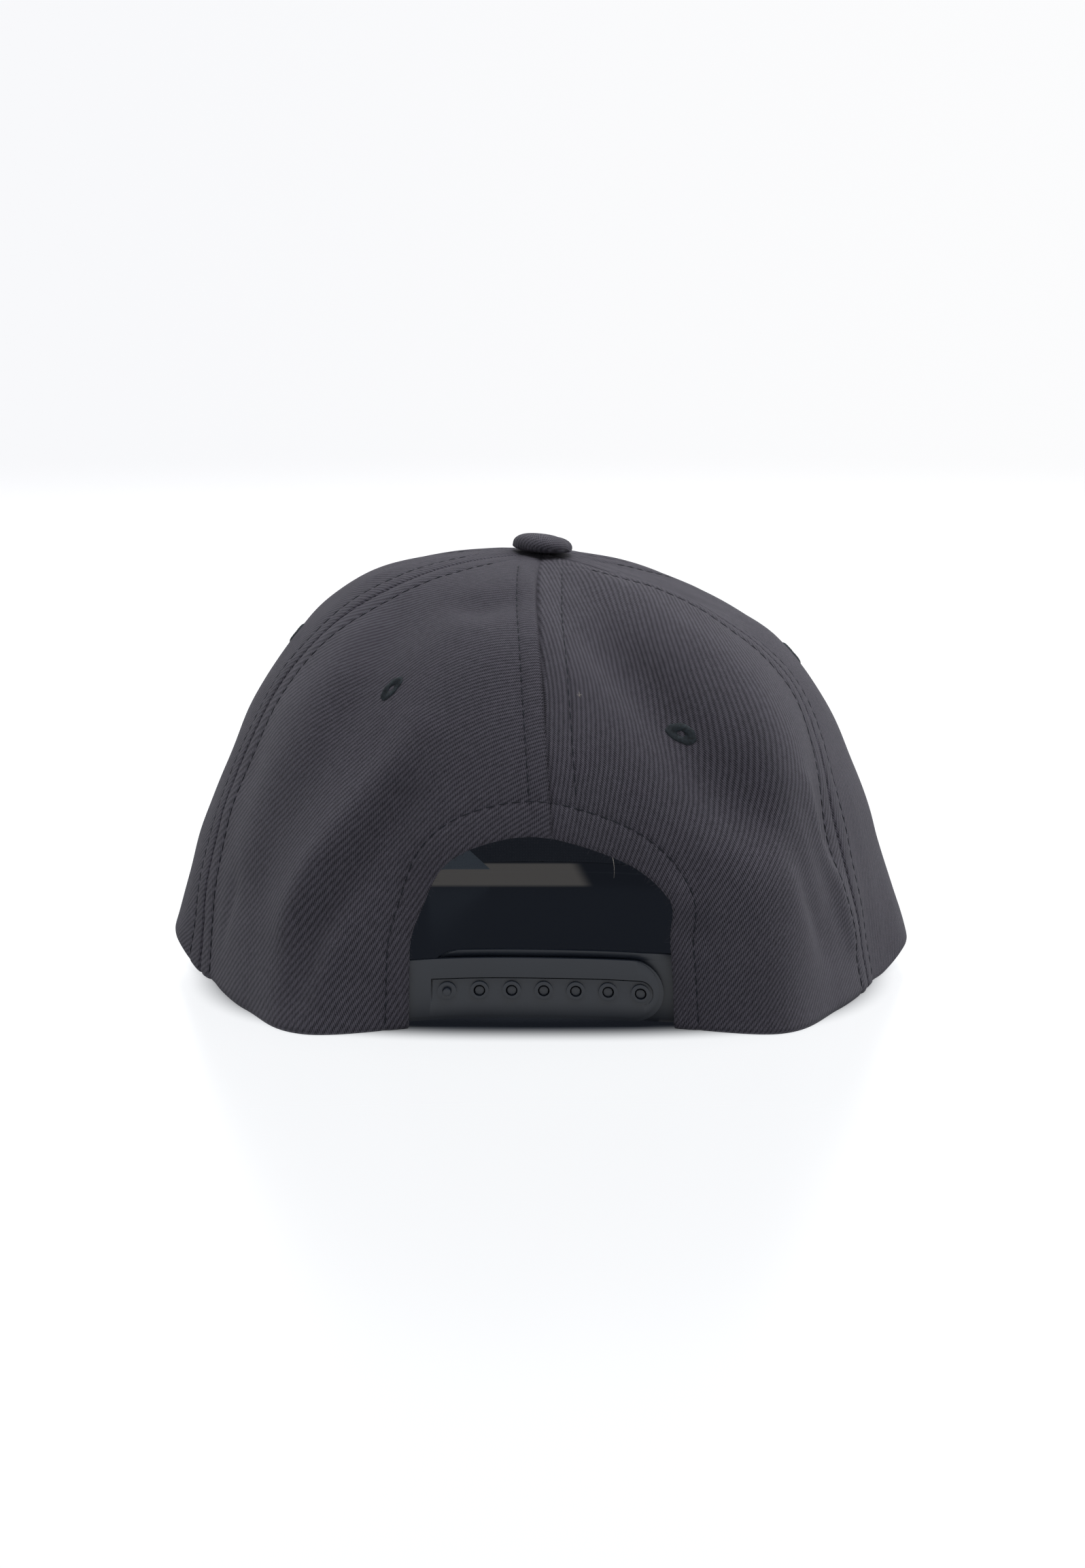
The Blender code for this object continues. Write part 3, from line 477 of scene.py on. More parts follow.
# Sewing pulls the cloth in along a seam, puffs it beside the seam and pinches it under each stitch.
SEAM_SINK = 0.0006
SEAM_SINK_WIDTH = 0.0005
SEAM_PUFF = 0.00030
STITCH_SINK = 0.00022
STITCH_SINK_WIDTH = 0.0007
STITCH_PITCH = 0.0031
STITCH_OFFSETS = {
    "back": (0.0050, 0.0062),
    "left": (0.0058, 0.0060),
    "right": (0.0058, 0.0060),
    "front_left": (0.0058, 0.0058),
    "front_right": (0.0058, 0.0058),
    "front": (0.0055, 0.0055),
}
HEM_ROLL = 0.0011
HEM_STITCH = 0.0058
HEM_STITCH_AT_TOP = 0.0082


def hem_stitch_distance(along):
    """Distance of the hem's stitch line from the edge, wider over the top of the arch than at its feet."""
    return HEM_STITCH + (HEM_STITCH_AT_TOP - HEM_STITCH) * eased((along - 0.022) / 0.030)


def sewn_relief(azimuth, rise, at_back):
    """How far sewing moves the cloth in or out at each place."""
    points = crown_points(azimuth, rise)
    radius = np.hypot(points[:, 0], points[:, 1])
    relief = np.zeros(len(radius))
    up = height_share(rise) * CROWN_HEIGHT
    for seam, (left_offset, right_offset) in STITCH_OFFSETS.items():
        gap = (azimuth - seam_azimuth(seam, rise) + 180) % 360 - 180
        away = np.radians(gap) * radius
        fade = np.clip((radius - 0.004) / 0.022, 0, 1)
        near = np.abs(away)
        relief -= SEAM_SINK * np.clip(radius / 0.03, 0.15, 1) * bell(near, SEAM_SINK_WIDTH)
        for side, offset in ((1, left_offset), (-1, right_offset)):
            here = away * side > 0
            puff = SEAM_PUFF * np.sin(math.pi * np.clip(near / offset, 0, 1)) ** 0.8
            ripple = 0.5 + 0.5 * np.cos(2 * math.pi * up / STITCH_PITCH)
            pinch = STITCH_SINK * (0.55 + 0.45 * ripple) * bell(near - offset, STITCH_SINK_WIDTH)
            relief += np.where(here, (puff - pinch) * fade, 0)
    if at_back:
        edge, along = arch_distance(azimuth, rise)
        line = hem_stitch_distance(along)
        ripple = 0.5 + 0.5 * np.cos(2 * math.pi * along / STITCH_PITCH)
        relief -= STITCH_SINK * (0.5 + 0.5 * ripple) * bell(edge - line, STITCH_SINK_WIDTH)
        relief += SEAM_PUFF * np.sin(math.pi * np.clip(edge / line, 0, 1)) ** 0.7
        roll = np.clip(1 - edge / HEM_ROLL, 0, 1)
        relief -= HEM_ROLL * 0.8 * (1 - np.sqrt(1 - roll**2))
    rim_roll = np.clip(1 - up / HEM_ROLL, 0, 1)
    relief -= HEM_ROLL * 0.7 * (1 - np.sqrt(1 - rim_roll**2))
    return relief


# Creases the cap took on in its box: each is a path of azimuth and rise, how far it pushes the cloth out
# in millimetres, and how wide it is.
Crease = namedtuple("Crease", "push width path")
CREASES = (
    Crease(-2.3, 15.0, ((-60, 0.93), (-68, 0.86), (-76, 0.76))),
    Crease(-2.4, 8.0, ((-10, 0.95), (-16, 0.78), (-21, 0.64), (-25, 0.50), (-28, 0.42), (-33, 0.36))),
    Crease(1.7, 12.0, ((-48, 0.93), (-48, 0.80), (-45, 0.66), (-43, 0.52), (-42, 0.42))),
    Crease(1.8, 3.8, ((-47, 0.38), (-48, 0.29), (-53, 0.21), (-55, 0.11))),
    Crease(-1.4, 4.5, ((-40, 0.30), (-42, 0.21), (-45, 0.12))),
    Crease(1.2, 3.2, ((-21, 0.25), (-22, 0.20))),
    Crease(-1.2, 3.0, ((-23.5, 0.19), (-24, 0.16))),
    Crease(2.8, 6.0, ((23, 0.49), (28, 0.40), (31, 0.34), (35, 0.27), (38, 0.18))),
    Crease(-2.8, 5.6, ((24, 0.38), (27, 0.31), (30, 0.24), (33, 0.17), (34, 0.07))),
    Crease(-2.9, 10.0, ((38, 0.70), (37, 0.58), (39, 0.46), (43, 0.34), (48, 0.22))),
    Crease(-1.8, 6.0, ((27, 0.76), (18, 0.75), (9, 0.78))),
    Crease(0.9, 3.0, ((27, 0.23), (30, 0.14), (32, 0.07))),
    Crease(-0.8, 3.5, ((57, 0.20), (60, 0.10))),
)


def rumples(azimuth, rise):
    """Creases, and the soft unevenness of pressed cloth."""
    azimuth = np.asarray(azimuth, float).ravel()
    rise = np.asarray(rise, float).ravel()
    turn = np.radians(azimuth)
    waves = (
        np.sin(5 * turn + 9 * rise + 0.6) * np.sin(13 * rise - 2 * turn)
        + 0.6 * np.sin(11 * turn - 15 * rise + 2.1) * np.sin(17 * rise + 3 * turn + 1.0)
        + 0.35 * np.sin(23 * turn + 21 * rise) * np.sin(29 * rise - 7 * turn + 0.4)
    )
    moved = 0.00035 * waves * np.clip(1 - rise**6, 0, 1)
    spots = crown_points(azimuth, rise)
    for crease in CREASES:
        knots = np.array(crease.path, float)
        share = np.linspace(0, 1, len(knots))
        steps = np.linspace(0, 1, 41)
        line = crown_points(np.interp(steps, share, knots[:, 0]), np.interp(steps, share, knots[:, 1]))
        strength = np.sin(math.pi * (0.12 + 0.76 * steps)) ** 0.6
        width = crease.width * MM
        close = np.where(np.linalg.norm(spots - line[20], axis=1) < 0.09)[0]
        gaps = np.linalg.norm(spots[close][:, None] - line[None], axis=2)
        bumps = (bell(gaps, width) * strength).max(axis=1)
        moved[close] += crease.push * MM * bumps
    return moved


def on_cloth(azimuth, rise, at_back):
    """Points on the cloth as it is sewn and rumpled."""
    return on_crown(azimuth, rise, sewn_relief(azimuth, rise, at_back) + rumples(azimuth, rise))


def flat_pattern(azimuth, rise, middle):
    """Each place's spot on the panel's flat cloth, across and along the panel's centre line."""
    steps = np.linspace(0, 1, 13)
    turns = middle + (azimuth - middle)[:, None] * steps[None]
    path = crown_points(turns, np.broadcast_to(rise[:, None], turns.shape))
    arc = np.linalg.norm(np.diff(path, axis=1), axis=2).sum(axis=1)
    arc *= -np.sign(azimuth - middle)
    rises = np.linspace(0, 1, 161)
    centre = crown_points(middle, rises)
    along = length_along(centre)
    radius = np.hypot(centre[:, 0], centre[:, 1])
    closing = np.clip(-np.gradient(radius, along), 0.03, 1)
    bend = np.interp(rise, rises, closing / np.maximum(radius, 0.002))
    start = np.interp(rise, rises, along)
    angle = bend * arc
    return np.stack([np.sin(angle) / bend, start + (1 - np.cos(angle)) / bend], axis=1)


# The wales of the back panels, which pressing over the mould has turned. Each row is a rise, then how
# far the wales lean clockwise from upright at the five azimuths.
WALE_LEAN = 38.0
WALE_EVENNESS = 0.4
WALES_LEFT = (
    (0, 15, 30, 45, 60),
    (0.00, 44, 34, 30, 40, 48),
    (0.20, 46, 36, 27, 38, 48),
    (0.32, 58, 40, 28, 42, 50),
    (0.45, 68, 56, 36, 47, 55),
    (0.62, 76, 74, 38, 46, 54),
    (0.80, 80, 72, 52, 48, 50),
    (1.00, 82, 72, 55, 48, 45),
)
WALES_RIGHT = (
    (0, -12, -24, -36, -50),
    (0.00, 20, 28, 36, 42, 60),
    (0.12, 20, 28, 37, 47, 66),
    (0.24, 14, 16, 26, 54, 66),
    (0.33, 10, 16, 30, 36, 40),
    (0.42, 5, 8, 6, -6, 12),
    (0.55, -4, -3, -6, 6, 24),
    (0.70, -13, -10, 5, 25, 40),
    (0.85, -15, -5, 8, 30, 42),
    (1.00, -15, -5, 10, 30, 42),
)


def pressed_wales(azimuth, rise, table):
    """Distance across and along the wales at each place, from the lean that the table gives them."""
    turns = np.array(table[0], float)
    rises = np.array([row[0] for row in table[1:]])
    leans = np.array([row[1:] for row in table[1:]], float)
    low, high = sorted((float(azimuth.min()), float(azimuth.max())))
    grid = np.meshgrid(np.linspace(low, high, 44), np.linspace(0.01, 0.95, 48))
    grid_turn, grid_rise = (side.ravel() for side in grid)
    order = np.argsort(turns)
    at_turns = np.array([np.interp(grid_rise, rises, leans[:, k]) for k in order])
    place = np.clip(np.interp(grid_turn, turns[order], np.arange(len(turns))), 0, len(turns) - 1)
    before = np.minimum(place.astype(int), len(turns) - 2)
    each = np.arange(len(grid_turn))
    lean = at_turns[before, each] * (1 - place + before) + at_turns[before + 1, each] * (place - before)
    lean = np.radians(lean)
    step = (crown_points(grid_turn + 0.2, grid_rise) - crown_points(grid_turn - 0.2, grid_rise)) / 0.4
    above = crown_points(grid_turn, grid_rise + 0.003)
    rise_step = (above - crown_points(grid_turn, grid_rise - 0.003)) / 0.006
    width = np.linalg.norm(step, axis=1)
    right = -step / width[:, None]
    sideways = (rise_step * right).sum(1)
    upward = np.linalg.norm(rise_step - right * sideways[:, None], axis=1)

    def powers(turn, high_rise):
        x = (2 * turn - low - high) / (high - low)
        y = 2 * high_rise - 1
        terms = [(i, j) for i in range(6) for j in range(8) if 0 < i + j]
        values = np.stack([x**i * y**j for i, j in terms], 1)
        by_x = np.stack([i * x ** max(i - 1, 0) * y**j for i, j in terms], 1) * 2 / (high - low)
        by_y = np.stack([j * x**i * y ** max(j - 1, 0) for i, j in terms], 1) * 2
        return values, by_x, by_y

    values, by_turn, by_rise = powers(grid_turn, grid_rise)
    by_right = -by_turn / width[:, None]
    by_top = (by_rise - sideways[:, None] * by_right) / upward[:, None]
    slant = np.stack([np.cos(lean), np.sin(lean)])[:, :, None]
    by_wale = slant[1] * by_right + slant[0] * by_top
    by_side = slant[0] * by_right - slant[1] * by_top
    none = np.zeros(len(lean))
    wanted = powers(azimuth, rise)[0]
    made = []
    for side_share, wale_share in ((1.0, 0.0), (0.0, 1.0)):
        left_side = np.vstack([by_side * WALE_EVENNESS, by_wale])
        right_side = np.concatenate([none + side_share * WALE_EVENNESS, none + wale_share])
        made.append(wanted @ np.linalg.lstsq(left_side, right_side, rcond=1e-7)[0])
    return np.stack(made, 1)


def turned_flat(flat, lean):
    """Distances across and along the wales from places on the flat cloth."""
    angle = math.radians(lean)
    return np.stack(
        [
            flat[:, 0] * math.cos(angle) - flat[:, 1] * math.sin(angle),
            flat[:, 0] * math.sin(angle) + flat[:, 1] * math.cos(angle),
        ],
        1,
    )


def pick(piece, *others):
    """Selects only these pieces, with the first one active."""
    bpy.ops.object.select_all(action="DESELECT")
    for each in (piece, *others):
        each.select_set(True)
    bpy.context.view_layer.objects.active = piece


def grid_of(name, columns, rows):
    """A fresh grid primitive, with each vertex's share across it and up it."""
    maker = bpy.ops.mesh.primitive_grid_add
    made = primitive(maker, x_subdivisions=columns, y_subdivisions=rows, size=1, calc_uvs=True)
    made.name = name
    made.data.name = name
    spots = np.zeros(len(made.data.vertices) * 3)
    made.data.vertices.foreach_get("co", spots)
    spots = spots.reshape(-1, 3)
    return made, spots[:, 0] + 0.5, spots[:, 1] + 0.5


def lay_out(piece, points, flat):
    """Moves a grid's vertices onto their places and gives each its spot on the flat cloth as UVs."""
    piece.data.vertices.foreach_set("co", np.asarray(points, float).ravel())
    corners = np.zeros(len(piece.data.loops), int)
    piece.data.loops.foreach_get("vertex_index", corners)
    piece.data.uv_layers.active.data.foreach_set("uv", flat[corners].ravel())
    piece.data.uv_layers.active.name = "cloth"
    piece.data.update()


def reshape(piece, kind, **settings):
    """Adds a modifier with these settings to a piece and applies it."""
    pick(piece)
    step = piece.modifiers.new("Step", kind)
    for name, value in settings.items():
        setattr(step, name, value)
    bpy.ops.object.modifier_apply(modifier="Step")


def thicken(piece, thickness):
    """Gives a sheet its wall and keeps it above the table."""
    reshape(piece, "SOLIDIFY", thickness=thickness, offset=-1)
    for vertex in piece.data.vertices:
        vertex.co.z = max(vertex.co.z, 0.0)


def dress(piece, material, slot, *nodes):
    """Gives a finished piece its material and its place in the frame."""
    piece.data.materials.clear()
    piece.data.materials.append(material)
    piece.data.shade_smooth()
    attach(piece, "root")
    if nodes:
        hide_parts(*nodes)


# Twill: steep diagonal wales, each a row of short slanted floats, in charcoal wool with a little fuzz. Its
# colour follows the weave's relief, with painted shade in the grooves and painted highlight on the floats,
# over random tone.
WALE_PITCH = 0.00106
FLOAT_PITCH = 0.00054
FLOAT_SLANT = 0.95
TWILL_DARK_TONE_AND_GROOVE_SHADE = (0.0042, 0.0040, 0.0070, 1)
TWILL_MID = (0.0160, 0.0151, 0.0214, 1)
TWILL_LIGHT_TONE_AND_FLOAT_HIGHLIGHT = (0.060, 0.056, 0.071, 1)


def noise(add, place, scale, detail, output="Fac", **more):
    return add("ShaderNodeTexNoise", Vector=place, Scale=scale, Detail=detail, **more).outputs[output]


def colour_ramp(add, value, *stops):
    """Colours along a value, each stop a place and a colour."""
    ramp = add("ShaderNodeValToRGB", Fac=value)
    elements = ramp.color_ramp.elements
    while len(elements) < len(stops):
        elements.new(0.5)
    for element, (place, colour) in zip(elements, stops):
        element.position = place
        element.color = colour
    return ramp.outputs["Color"]


def twill_material(name):
    made, add, shader = new_material(name)
    maths = arithmetic(add)
    cloth = add("ShaderNodeUVMap", {"uv_map": "cloth"}).outputs["UV"]
    place = add("ShaderNodeTexCoord").outputs["Object"]

    def vector_maths(operation, first, **inputs):
        return add("ShaderNodeVectorMath", {"operation": operation}, i0=first, **inputs).outputs[0]

    for scale, reach in ((90.0, 0.0007), (900.0, 0.00030)):
        wander = vector_maths("SUBTRACT", noise(add, place, scale, 2.0, "Color"), i1=(0.5, 0.5, 0.5))
        cloth = vector_maths("ADD", cloth, i1=vector_maths("SCALE", wander, Scale=reach))
    split = add("ShaderNodeSeparateXYZ", Vector=cloth)
    across = split.outputs["X"]
    along = split.outputs["Y"]
    wale = maths("MULTIPLY", across, 2 * math.pi / WALE_PITCH)
    ridge = maths("MULTIPLY_ADD", maths("COSINE", wale), 0.5, 0.5)
    float_turns = 2 * math.pi / FLOAT_PITCH
    beat = maths("MULTIPLY_ADD", across, float_turns * FLOAT_SLANT, maths("MULTIPLY", along, float_turns))
    floats = maths("POWER", maths("MULTIPLY_ADD", maths("COSINE", beat), 0.5, 0.5), 1.4)
    fuzz = noise(add, place, 2600.0, 3.0, Roughness=0.75)
    slubs = noise(add, place, 700.0, 2.0)
    patchy = noise(add, place, 38.0, 3.0)
    on_ridge = maths("MULTIPLY", maths("POWER", ridge, 0.8), maths("MULTIPLY_ADD", floats, 0.36, 0.58))
    in_groove = maths("MULTIPLY", maths("SUBTRACT", 1.0, ridge), maths("MULTIPLY", floats, 0.62))
    height = maths("ADD", on_ridge, in_groove)
    rough_height = maths("MULTIPLY_ADD", fuzz, 0.75, height)
    shade = maths("MULTIPLY_ADD", slubs, 0.35, maths("MULTIPLY_ADD", patchy, 0.10, rough_height))
    # Colour from the weave's height: painted shade in the grooves and painted highlight on the float tops,
    # with random tone from fuzz, slubs and patches.
    stops = ((0.28, TWILL_DARK_TONE_AND_GROOVE_SHADE), (0.56, TWILL_MID), (0.92, TWILL_LIGHT_TONE_AND_FLOAT_HIGHLIGHT))
    set_surface(
        shader,
        Base_Color=colour_ramp(add, maths("MULTIPLY", shade, 0.62), *stops),
        Normal=add("ShaderNodeBump", Strength=0.9, Distance=0.00022, Height=rough_height).outputs[0],
        Roughness=0.88,
        Specular_IOR_Level=0.25,
        Sheen_Weight=0.05,
        Sheen_Roughness=0.45,
        Sheen_Tint=(0.75, 0.75, 0.82, 1),
    )
    return made


twill = twill_material("charcoal twill")

Eyelet = namedtuple("Eyelet", "name azimuth rise squash lean")
EYELETS = (
    Eyelet("eyelet_back_left", 31.2, 0.571, 0.62, 64),
    Eyelet("eyelet_back_right", -26.2, 0.494, 0.70, -46),
    Eyelet("eyelet_side_left", 87.0, 0.600, 0.92, 20),
    Eyelet("eyelet_side_right", -90.0, 0.560, 0.90, 70),
    Eyelet("eyelet_front_left", 150.0, 0.620, 0.94, 0),
    Eyelet("eyelet_front_right", -150.0, 0.620, 0.92, 40),
)
EYELET_OPENING = 0.0012


def top_rise():
    """Rise of the edge of the small hole that the button covers."""
    steps = np.linspace(0.8, 1, 401)
    radii = np.hypot(*crown_points(90.0, steps)[:, :2].T)
    return float(np.interp(-TOP_HOLE_RADIUS, -radii, steps))


def narrowing(rise):
    """How a panel narrows towards the top, as a share of its width at the rim."""
    radii = np.hypot(*np.moveaxis(crown_points(90.0, rise)[..., :2], -1, 0))
    return radii / np.hypot(*crown_points(90.0, 0.0)[0, :2])


def inset(azimuth, rise):
    spots = crown_points(azimuth, rise)
    return np.degrees(SEAM_GAP / 2 / np.hypot(spots[..., 0], spots[..., 1]))


def back_places(side, across, up):
    """Azimuth and rise of a back panel's vertices, in rows that run round the arch."""
    sign = 1 if side == "left" else -1
    out = 1 - across if side == "left" else across
    top = top_rise()
    fine = 401
    hem_turn, hem_rise = arch_edge(side, fine)
    head_rise = np.interp(np.linspace(0, 1, fine), [0, 0.95, 1], [hem_rise[-1], top, top])
    head_turn = seam_azimuth("back", head_rise)
    head_turn = head_turn + sign * inset(head_turn, head_rise)
    side_rise = np.linspace(0, top, fine)
    side_turn = seam_azimuth(side, side_rise)
    side_turn = side_turn - sign * inset(side_turn, side_rise)
    hem_turn[-1] = head_turn[0]
    foot_turn = np.linspace(hem_turn[0], side_turn[0], fine)
    end_share = np.clip((np.linspace(0, 1, fine) - 0.95) / 0.05, 0, 1)
    head_turn = head_turn * (1 - end_share) + side_turn[-1] * end_share

    def flat(turn, rise):
        return np.stack([turn * narrowing(rise), rise], axis=-1)

    share = np.linspace(0, 1, fine)

    def along(line, where):
        return np.stack([np.interp(where, share, line[:, k]) for k in range(2)], axis=-1)

    inner = flat(hem_turn, hem_rise)
    outer = flat(side_turn, side_rise)
    foot = flat(foot_turn, np.zeros(fine))
    head = flat(head_turn, head_rise)
    u = out[:, None]
    v = up[:, None]
    sheet = (1 - u) * along(inner, up) + u * along(outer, up)
    sheet += (1 - v) * along(foot, out) + v * along(head, out)
    sheet -= (1 - v) * ((1 - u) * inner[:1] + u * outer[:1])
    sheet -= v * ((1 - u) * inner[-1:] + u * outer[-1:])
    return sheet[:, 0] / narrowing(sheet[:, 1]), sheet[:, 1]


def plain_places(start_seam, end_seam, across, up):
    """Azimuth and rise of the vertices of a panel between two seams, start on the viewer's left."""
    rise = up * top_rise()
    start = seam_azimuth(start_seam, rise) if start_seam != "front_back" else np.full(len(rise), -180.0)
    end = seam_azimuth(end_seam, rise) if end_seam != "front_back" else np.full(len(rise), -180.0)
    start = start - inset(start, rise)
    end = end + inset(end, rise)
    return start + (end - start) * across, rise


Panel = namedtuple("Panel", "name start end middle")
PANELS = (
    Panel("panel_back_left", "left", "back", 35.0),
    Panel("panel_back_right", "back", "right", -32.0),
    Panel("panel_side_left", "front_left", "left", 94.0),
    Panel("panel_side_right", "right", "front_right", -92.0),
    Panel("panel_front_left", "front", "front_left", 151.0),
    Panel("panel_front_right", "front_right", "front_back", -151.0),
)
PANEL_ROWS = 190
BACK_PANEL_COLUMNS = 140
PLAIN_PANEL_COLUMNS = 110
CROWDING = 0.78


def crowd_ends(share):
    """Spaces places closer together near both ends, where seams and hems need fine shape."""
    return share - CROWDING * np.sin(2 * math.pi * share) / (2 * math.pi)


def crowd_far_end(share):
    """Spaces places closer together near the far end alone."""
    return share + CROWDING * np.sin(math.pi * share) / math.pi


for panel in PANELS:
    at_back = "back" in panel.name
    columns = BACK_PANEL_COLUMNS if at_back else PLAIN_PANEL_COLUMNS
    piece, across, up = grid_of(panel.name.replace("panel", "cloth"), columns, PANEL_ROWS)
    across = crowd_ends(across)
    if at_back:
        azimuth, rise = back_places(panel.name.rsplit("_", 1)[1], across, crowd_far_end(up))
    else:
        azimuth, rise = plain_places(panel.start, panel.end, across, up)
    points = on_cloth(azimuth, rise, at_back)
    points[:, 2] = np.maximum(points[:, 2], 0)
    if at_back:
        wales = pressed_wales(azimuth, rise, WALES_LEFT if panel.middle > 0 else WALES_RIGHT)
    else:
        wales = turned_flat(flat_pattern(azimuth, rise, panel.middle), WALE_LEAN)
    lay_out(piece, points, wales)
    eyelet = next(e for e in EYELETS if e.name == panel.name.replace("panel", "eyelet"))
    centre = on_crown(eyelet.azimuth, eyelet.rise)[0]
    work = bmesh.new()
    work.from_mesh(piece.data)
    doomed = [f for f in work.faces if (f.calc_center_median() - Vector(centre)).length < EYELET_OPENING]
    bmesh.ops.delete(work, geom=doomed, context="FACES")
    work.to_mesh(piece.data)
    work.free()
    thicken(piece, PANEL_WALL)
    dress(piece, twill, "twill", panel.name)

# The stitching: a single lockstitch modelled once and repeated along every sewn line, in a polyester
# thread a little bluer than the cloth, pulled down until it lies almost flush.
THREAD_RADIUS = 0.00015
STITCH_LENGTH = 0.0025
THREAD_COLOUR = (0.0050, 0.0068, 0.0110, 1)


def thread_material(name, colour, twist_scale=2200.0):
    made, add, shader = new_material(name)
    strands = noise(add, add("ShaderNodeTexCoord").outputs["Object"], twist_scale, 2.0, Roughness=0.6)
    dark, light = ((colour[0] * share, colour[1] * share, colour[2] * share, 1) for share in (0.5, 1.8))
    set_surface(
        shader,
        Base_Color=colour_ramp(add, strands, (0.3, dark), (0.75, light)),
        Normal=add("ShaderNodeBump", Strength=0.6, Distance=0.00008, Height=strands).outputs[0],
        Roughness=0.75,
        Specular_IOR_Level=0.25,
    )
    return made


thread = thread_material("blue grey thread", THREAD_COLOUR)

stitch = primitive(bpy.ops.mesh.primitive_uv_sphere_add, segments=6, ring_count=6, radius=1)
stitch_spots = np.array([vertex.co for vertex in stitch.data.vertices])
stitch_faces = [list(face.vertices) for face in stitch.data.polygons]
bpy.data.objects.remove(stitch)


def piece_from(name, spots, faces):
    """A new piece from its points and faces."""
    mesh = bpy.data.meshes.new(name)
    mesh.from_pydata(spots, [], faces)
    piece = bpy.data.objects.new(name, mesh)
    bpy.context.collection.objects.link(piece)
    return piece


def sew(name, lines):
    """One mesh of stitches along lines, each given as its points and the cloth's outward directions."""
    spots = []
    faces = []
    for points, outs, pitch in lines:
        travel = length_along(points)
        count = int(travel[-1] / pitch)
        if count < 1:
            continue
        starts = (np.arange(count) + 0.5) * travel[-1] / count
        ends = [
            np.stack([np.interp(starts + step, travel, points[:, k]) for k in range(3)], 1)
            for step in (-0.001, 0.001)
        ]
        middle = (ends[0] + ends[1]) / 2
        forward = unit(ends[1] - ends[0])
        up = np.stack([np.interp(starts, travel, outs[:, k]) for k in range(3)], 1)
        up = unit(up - forward * (up * forward).sum(1, keepdims=True))
        side = np.cross(up, forward)
        size = STITCH_LENGTH * pitch / STITCH_PITCH / 2
        for m, f, u, s in zip(middle, forward, up, side):
            first = len(spots) * len(stitch_spots)
            arch = np.cos(stitch_spots[:, 2] * 1.3)[:, None] * THREAD_RADIUS * 0.9
            spots.append(
                m
                + stitch_spots[:, 2:] * size * f
                + stitch_spots[:, :1] * THREAD_RADIUS * s
                + (stitch_spots[:, 1:2] * THREAD_RADIUS * 0.8 + arch) * u
            )
            faces += [[v + first for v in face] for face in stitch_faces]
    dress(piece_from(name, np.concatenate(spots), faces), thread, "thread")


def seam_line(seam, side, low, high, offset):
    """Points and outward directions of a stitch line beside a seam."""
    rise = np.linspace(low, high, 240)
    turn = seam_azimuth(seam, rise)
    spots = crown_points(turn, rise)
    turn = turn + side * np.degrees(offset / np.hypot(spots[:, 0], spots[:, 1]))
    return on_cloth(turn, rise, False), crown_normals(turn, rise), STITCH_PITCH


SEAM_FOOT = 0.012
SEAM_HEAD = 0.90
seam_lines = []
for seam, offsets in STITCH_OFFSETS.items():
    foot = SEAM_FOOT
    if seam == "back":
        foot = float(rise_at_height(ARCH_TOP + HEM_STITCH_AT_TOP + 0.001))
    for side, offset in zip((1, -1), offsets):
        seam_lines.append(seam_line(seam, side, foot, SEAM_HEAD, offset))
sew("seam_stitching", seam_lines)

# The hem's stitch line runs up both feet and over the arch, parallel to its turned edge.
outward = unit(np.stack([np.gradient(arch_up, arch_travel), -np.gradient(arch_across, arch_travel)], 1))
hem_gap = hem_stitch_distance(arch_from_foot)
line_across = arch_across + outward[:, 0] * hem_gap
line_up = np.maximum(arch_up + outward[:, 1] * hem_gap, 0.0015)
turn = azimuth_at_distance(line_across)
rise = rise_at_height(line_up)
sew("hem_stitching", [(on_cloth(turn, rise, True), crown_normals(turn, rise), STITCH_PITCH)])

# Loose wool: short hairs that stand off the turned edge of the arch, one pale thread end, and a bit of lint.
FIBRE_RADIUS = 0.000045
FIBRE_STEPS = 4
FIBRE_COUNT = 90
FIBRE_GREY = (0.020, 0.020, 0.026, 1)
LINT_RADIUS = 0.00007
LINT_COLOUR = (0.24, 0.22, 0.20, 1)


def fibres(name, colour, starts, ways, lengths, radius):
    """Thin three sided hairs, each drooping a little along its length."""
    spots = []
    faces = []
    for start, way, length in zip(starts, ways, lengths):
        way = unit(way)
        side = unit(np.cross(way, (0.3, 0.2, 0.93)))
        other = np.cross(way, side)
        first = len(spots)
        for share in np.linspace(0, 1, FIBRE_STEPS + 1):
            droop = side * 0.2 * share**2 - np.array([0, 0, 0.15 * share**2])
            centre = start + length * (way * share + droop)
            thin = radius * (1 - 0.6 * share)
            for turn in (0.0, 2.09, 4.19):
                spots.append(centre + (side * math.cos(turn) + other * math.sin(turn)) * thin)
        for low in range(first, first + 3 * FIBRE_STEPS, 3):
            faces += [(low + k, low + (k + 1) % 3, low + 3 + (k + 1) % 3, low + 3 + k) for k in range(3)]
        last = len(spots)
        faces += [(first + 2, first + 1, first), (last - 3, last - 2, last - 1)]
    dress(piece_from(name, spots, faces), thread_material(name.replace("_", " "), colour), "thread")


chance = np.random.default_rng(11)
at = np.linspace(110, len(arch_turn) - 110, FIBRE_COUNT).astype(int) + chance.integers(-5, 6, FIBRE_COUNT)
starts = on_crown(arch_turn[at], arch_rise[at], -0.0005)
inward = azimuth_at_distance(arch_across[at] - outward[at, 0] * 0.002)
ways = unit(on_crown(inward, rise_at_height(arch_up[at] - outward[at, 1] * 0.002), -0.0005) - starts)
ways = ways * 0.7 + crown_normals(arch_turn[at], arch_rise[at]) * 0.5 + chance.normal(0, 0.5, ways.shape)
lengths = chance.uniform(0.0006, 0.0017, FIBRE_COUNT)
fibres("loose_hairs", FIBRE_GREY, starts, ways, lengths, FIBRE_RADIUS)
PALE_END = -11.4
LINT = (-7.4, 0.557)
end = int(np.argmin(np.abs(arch_turn - PALE_END)))
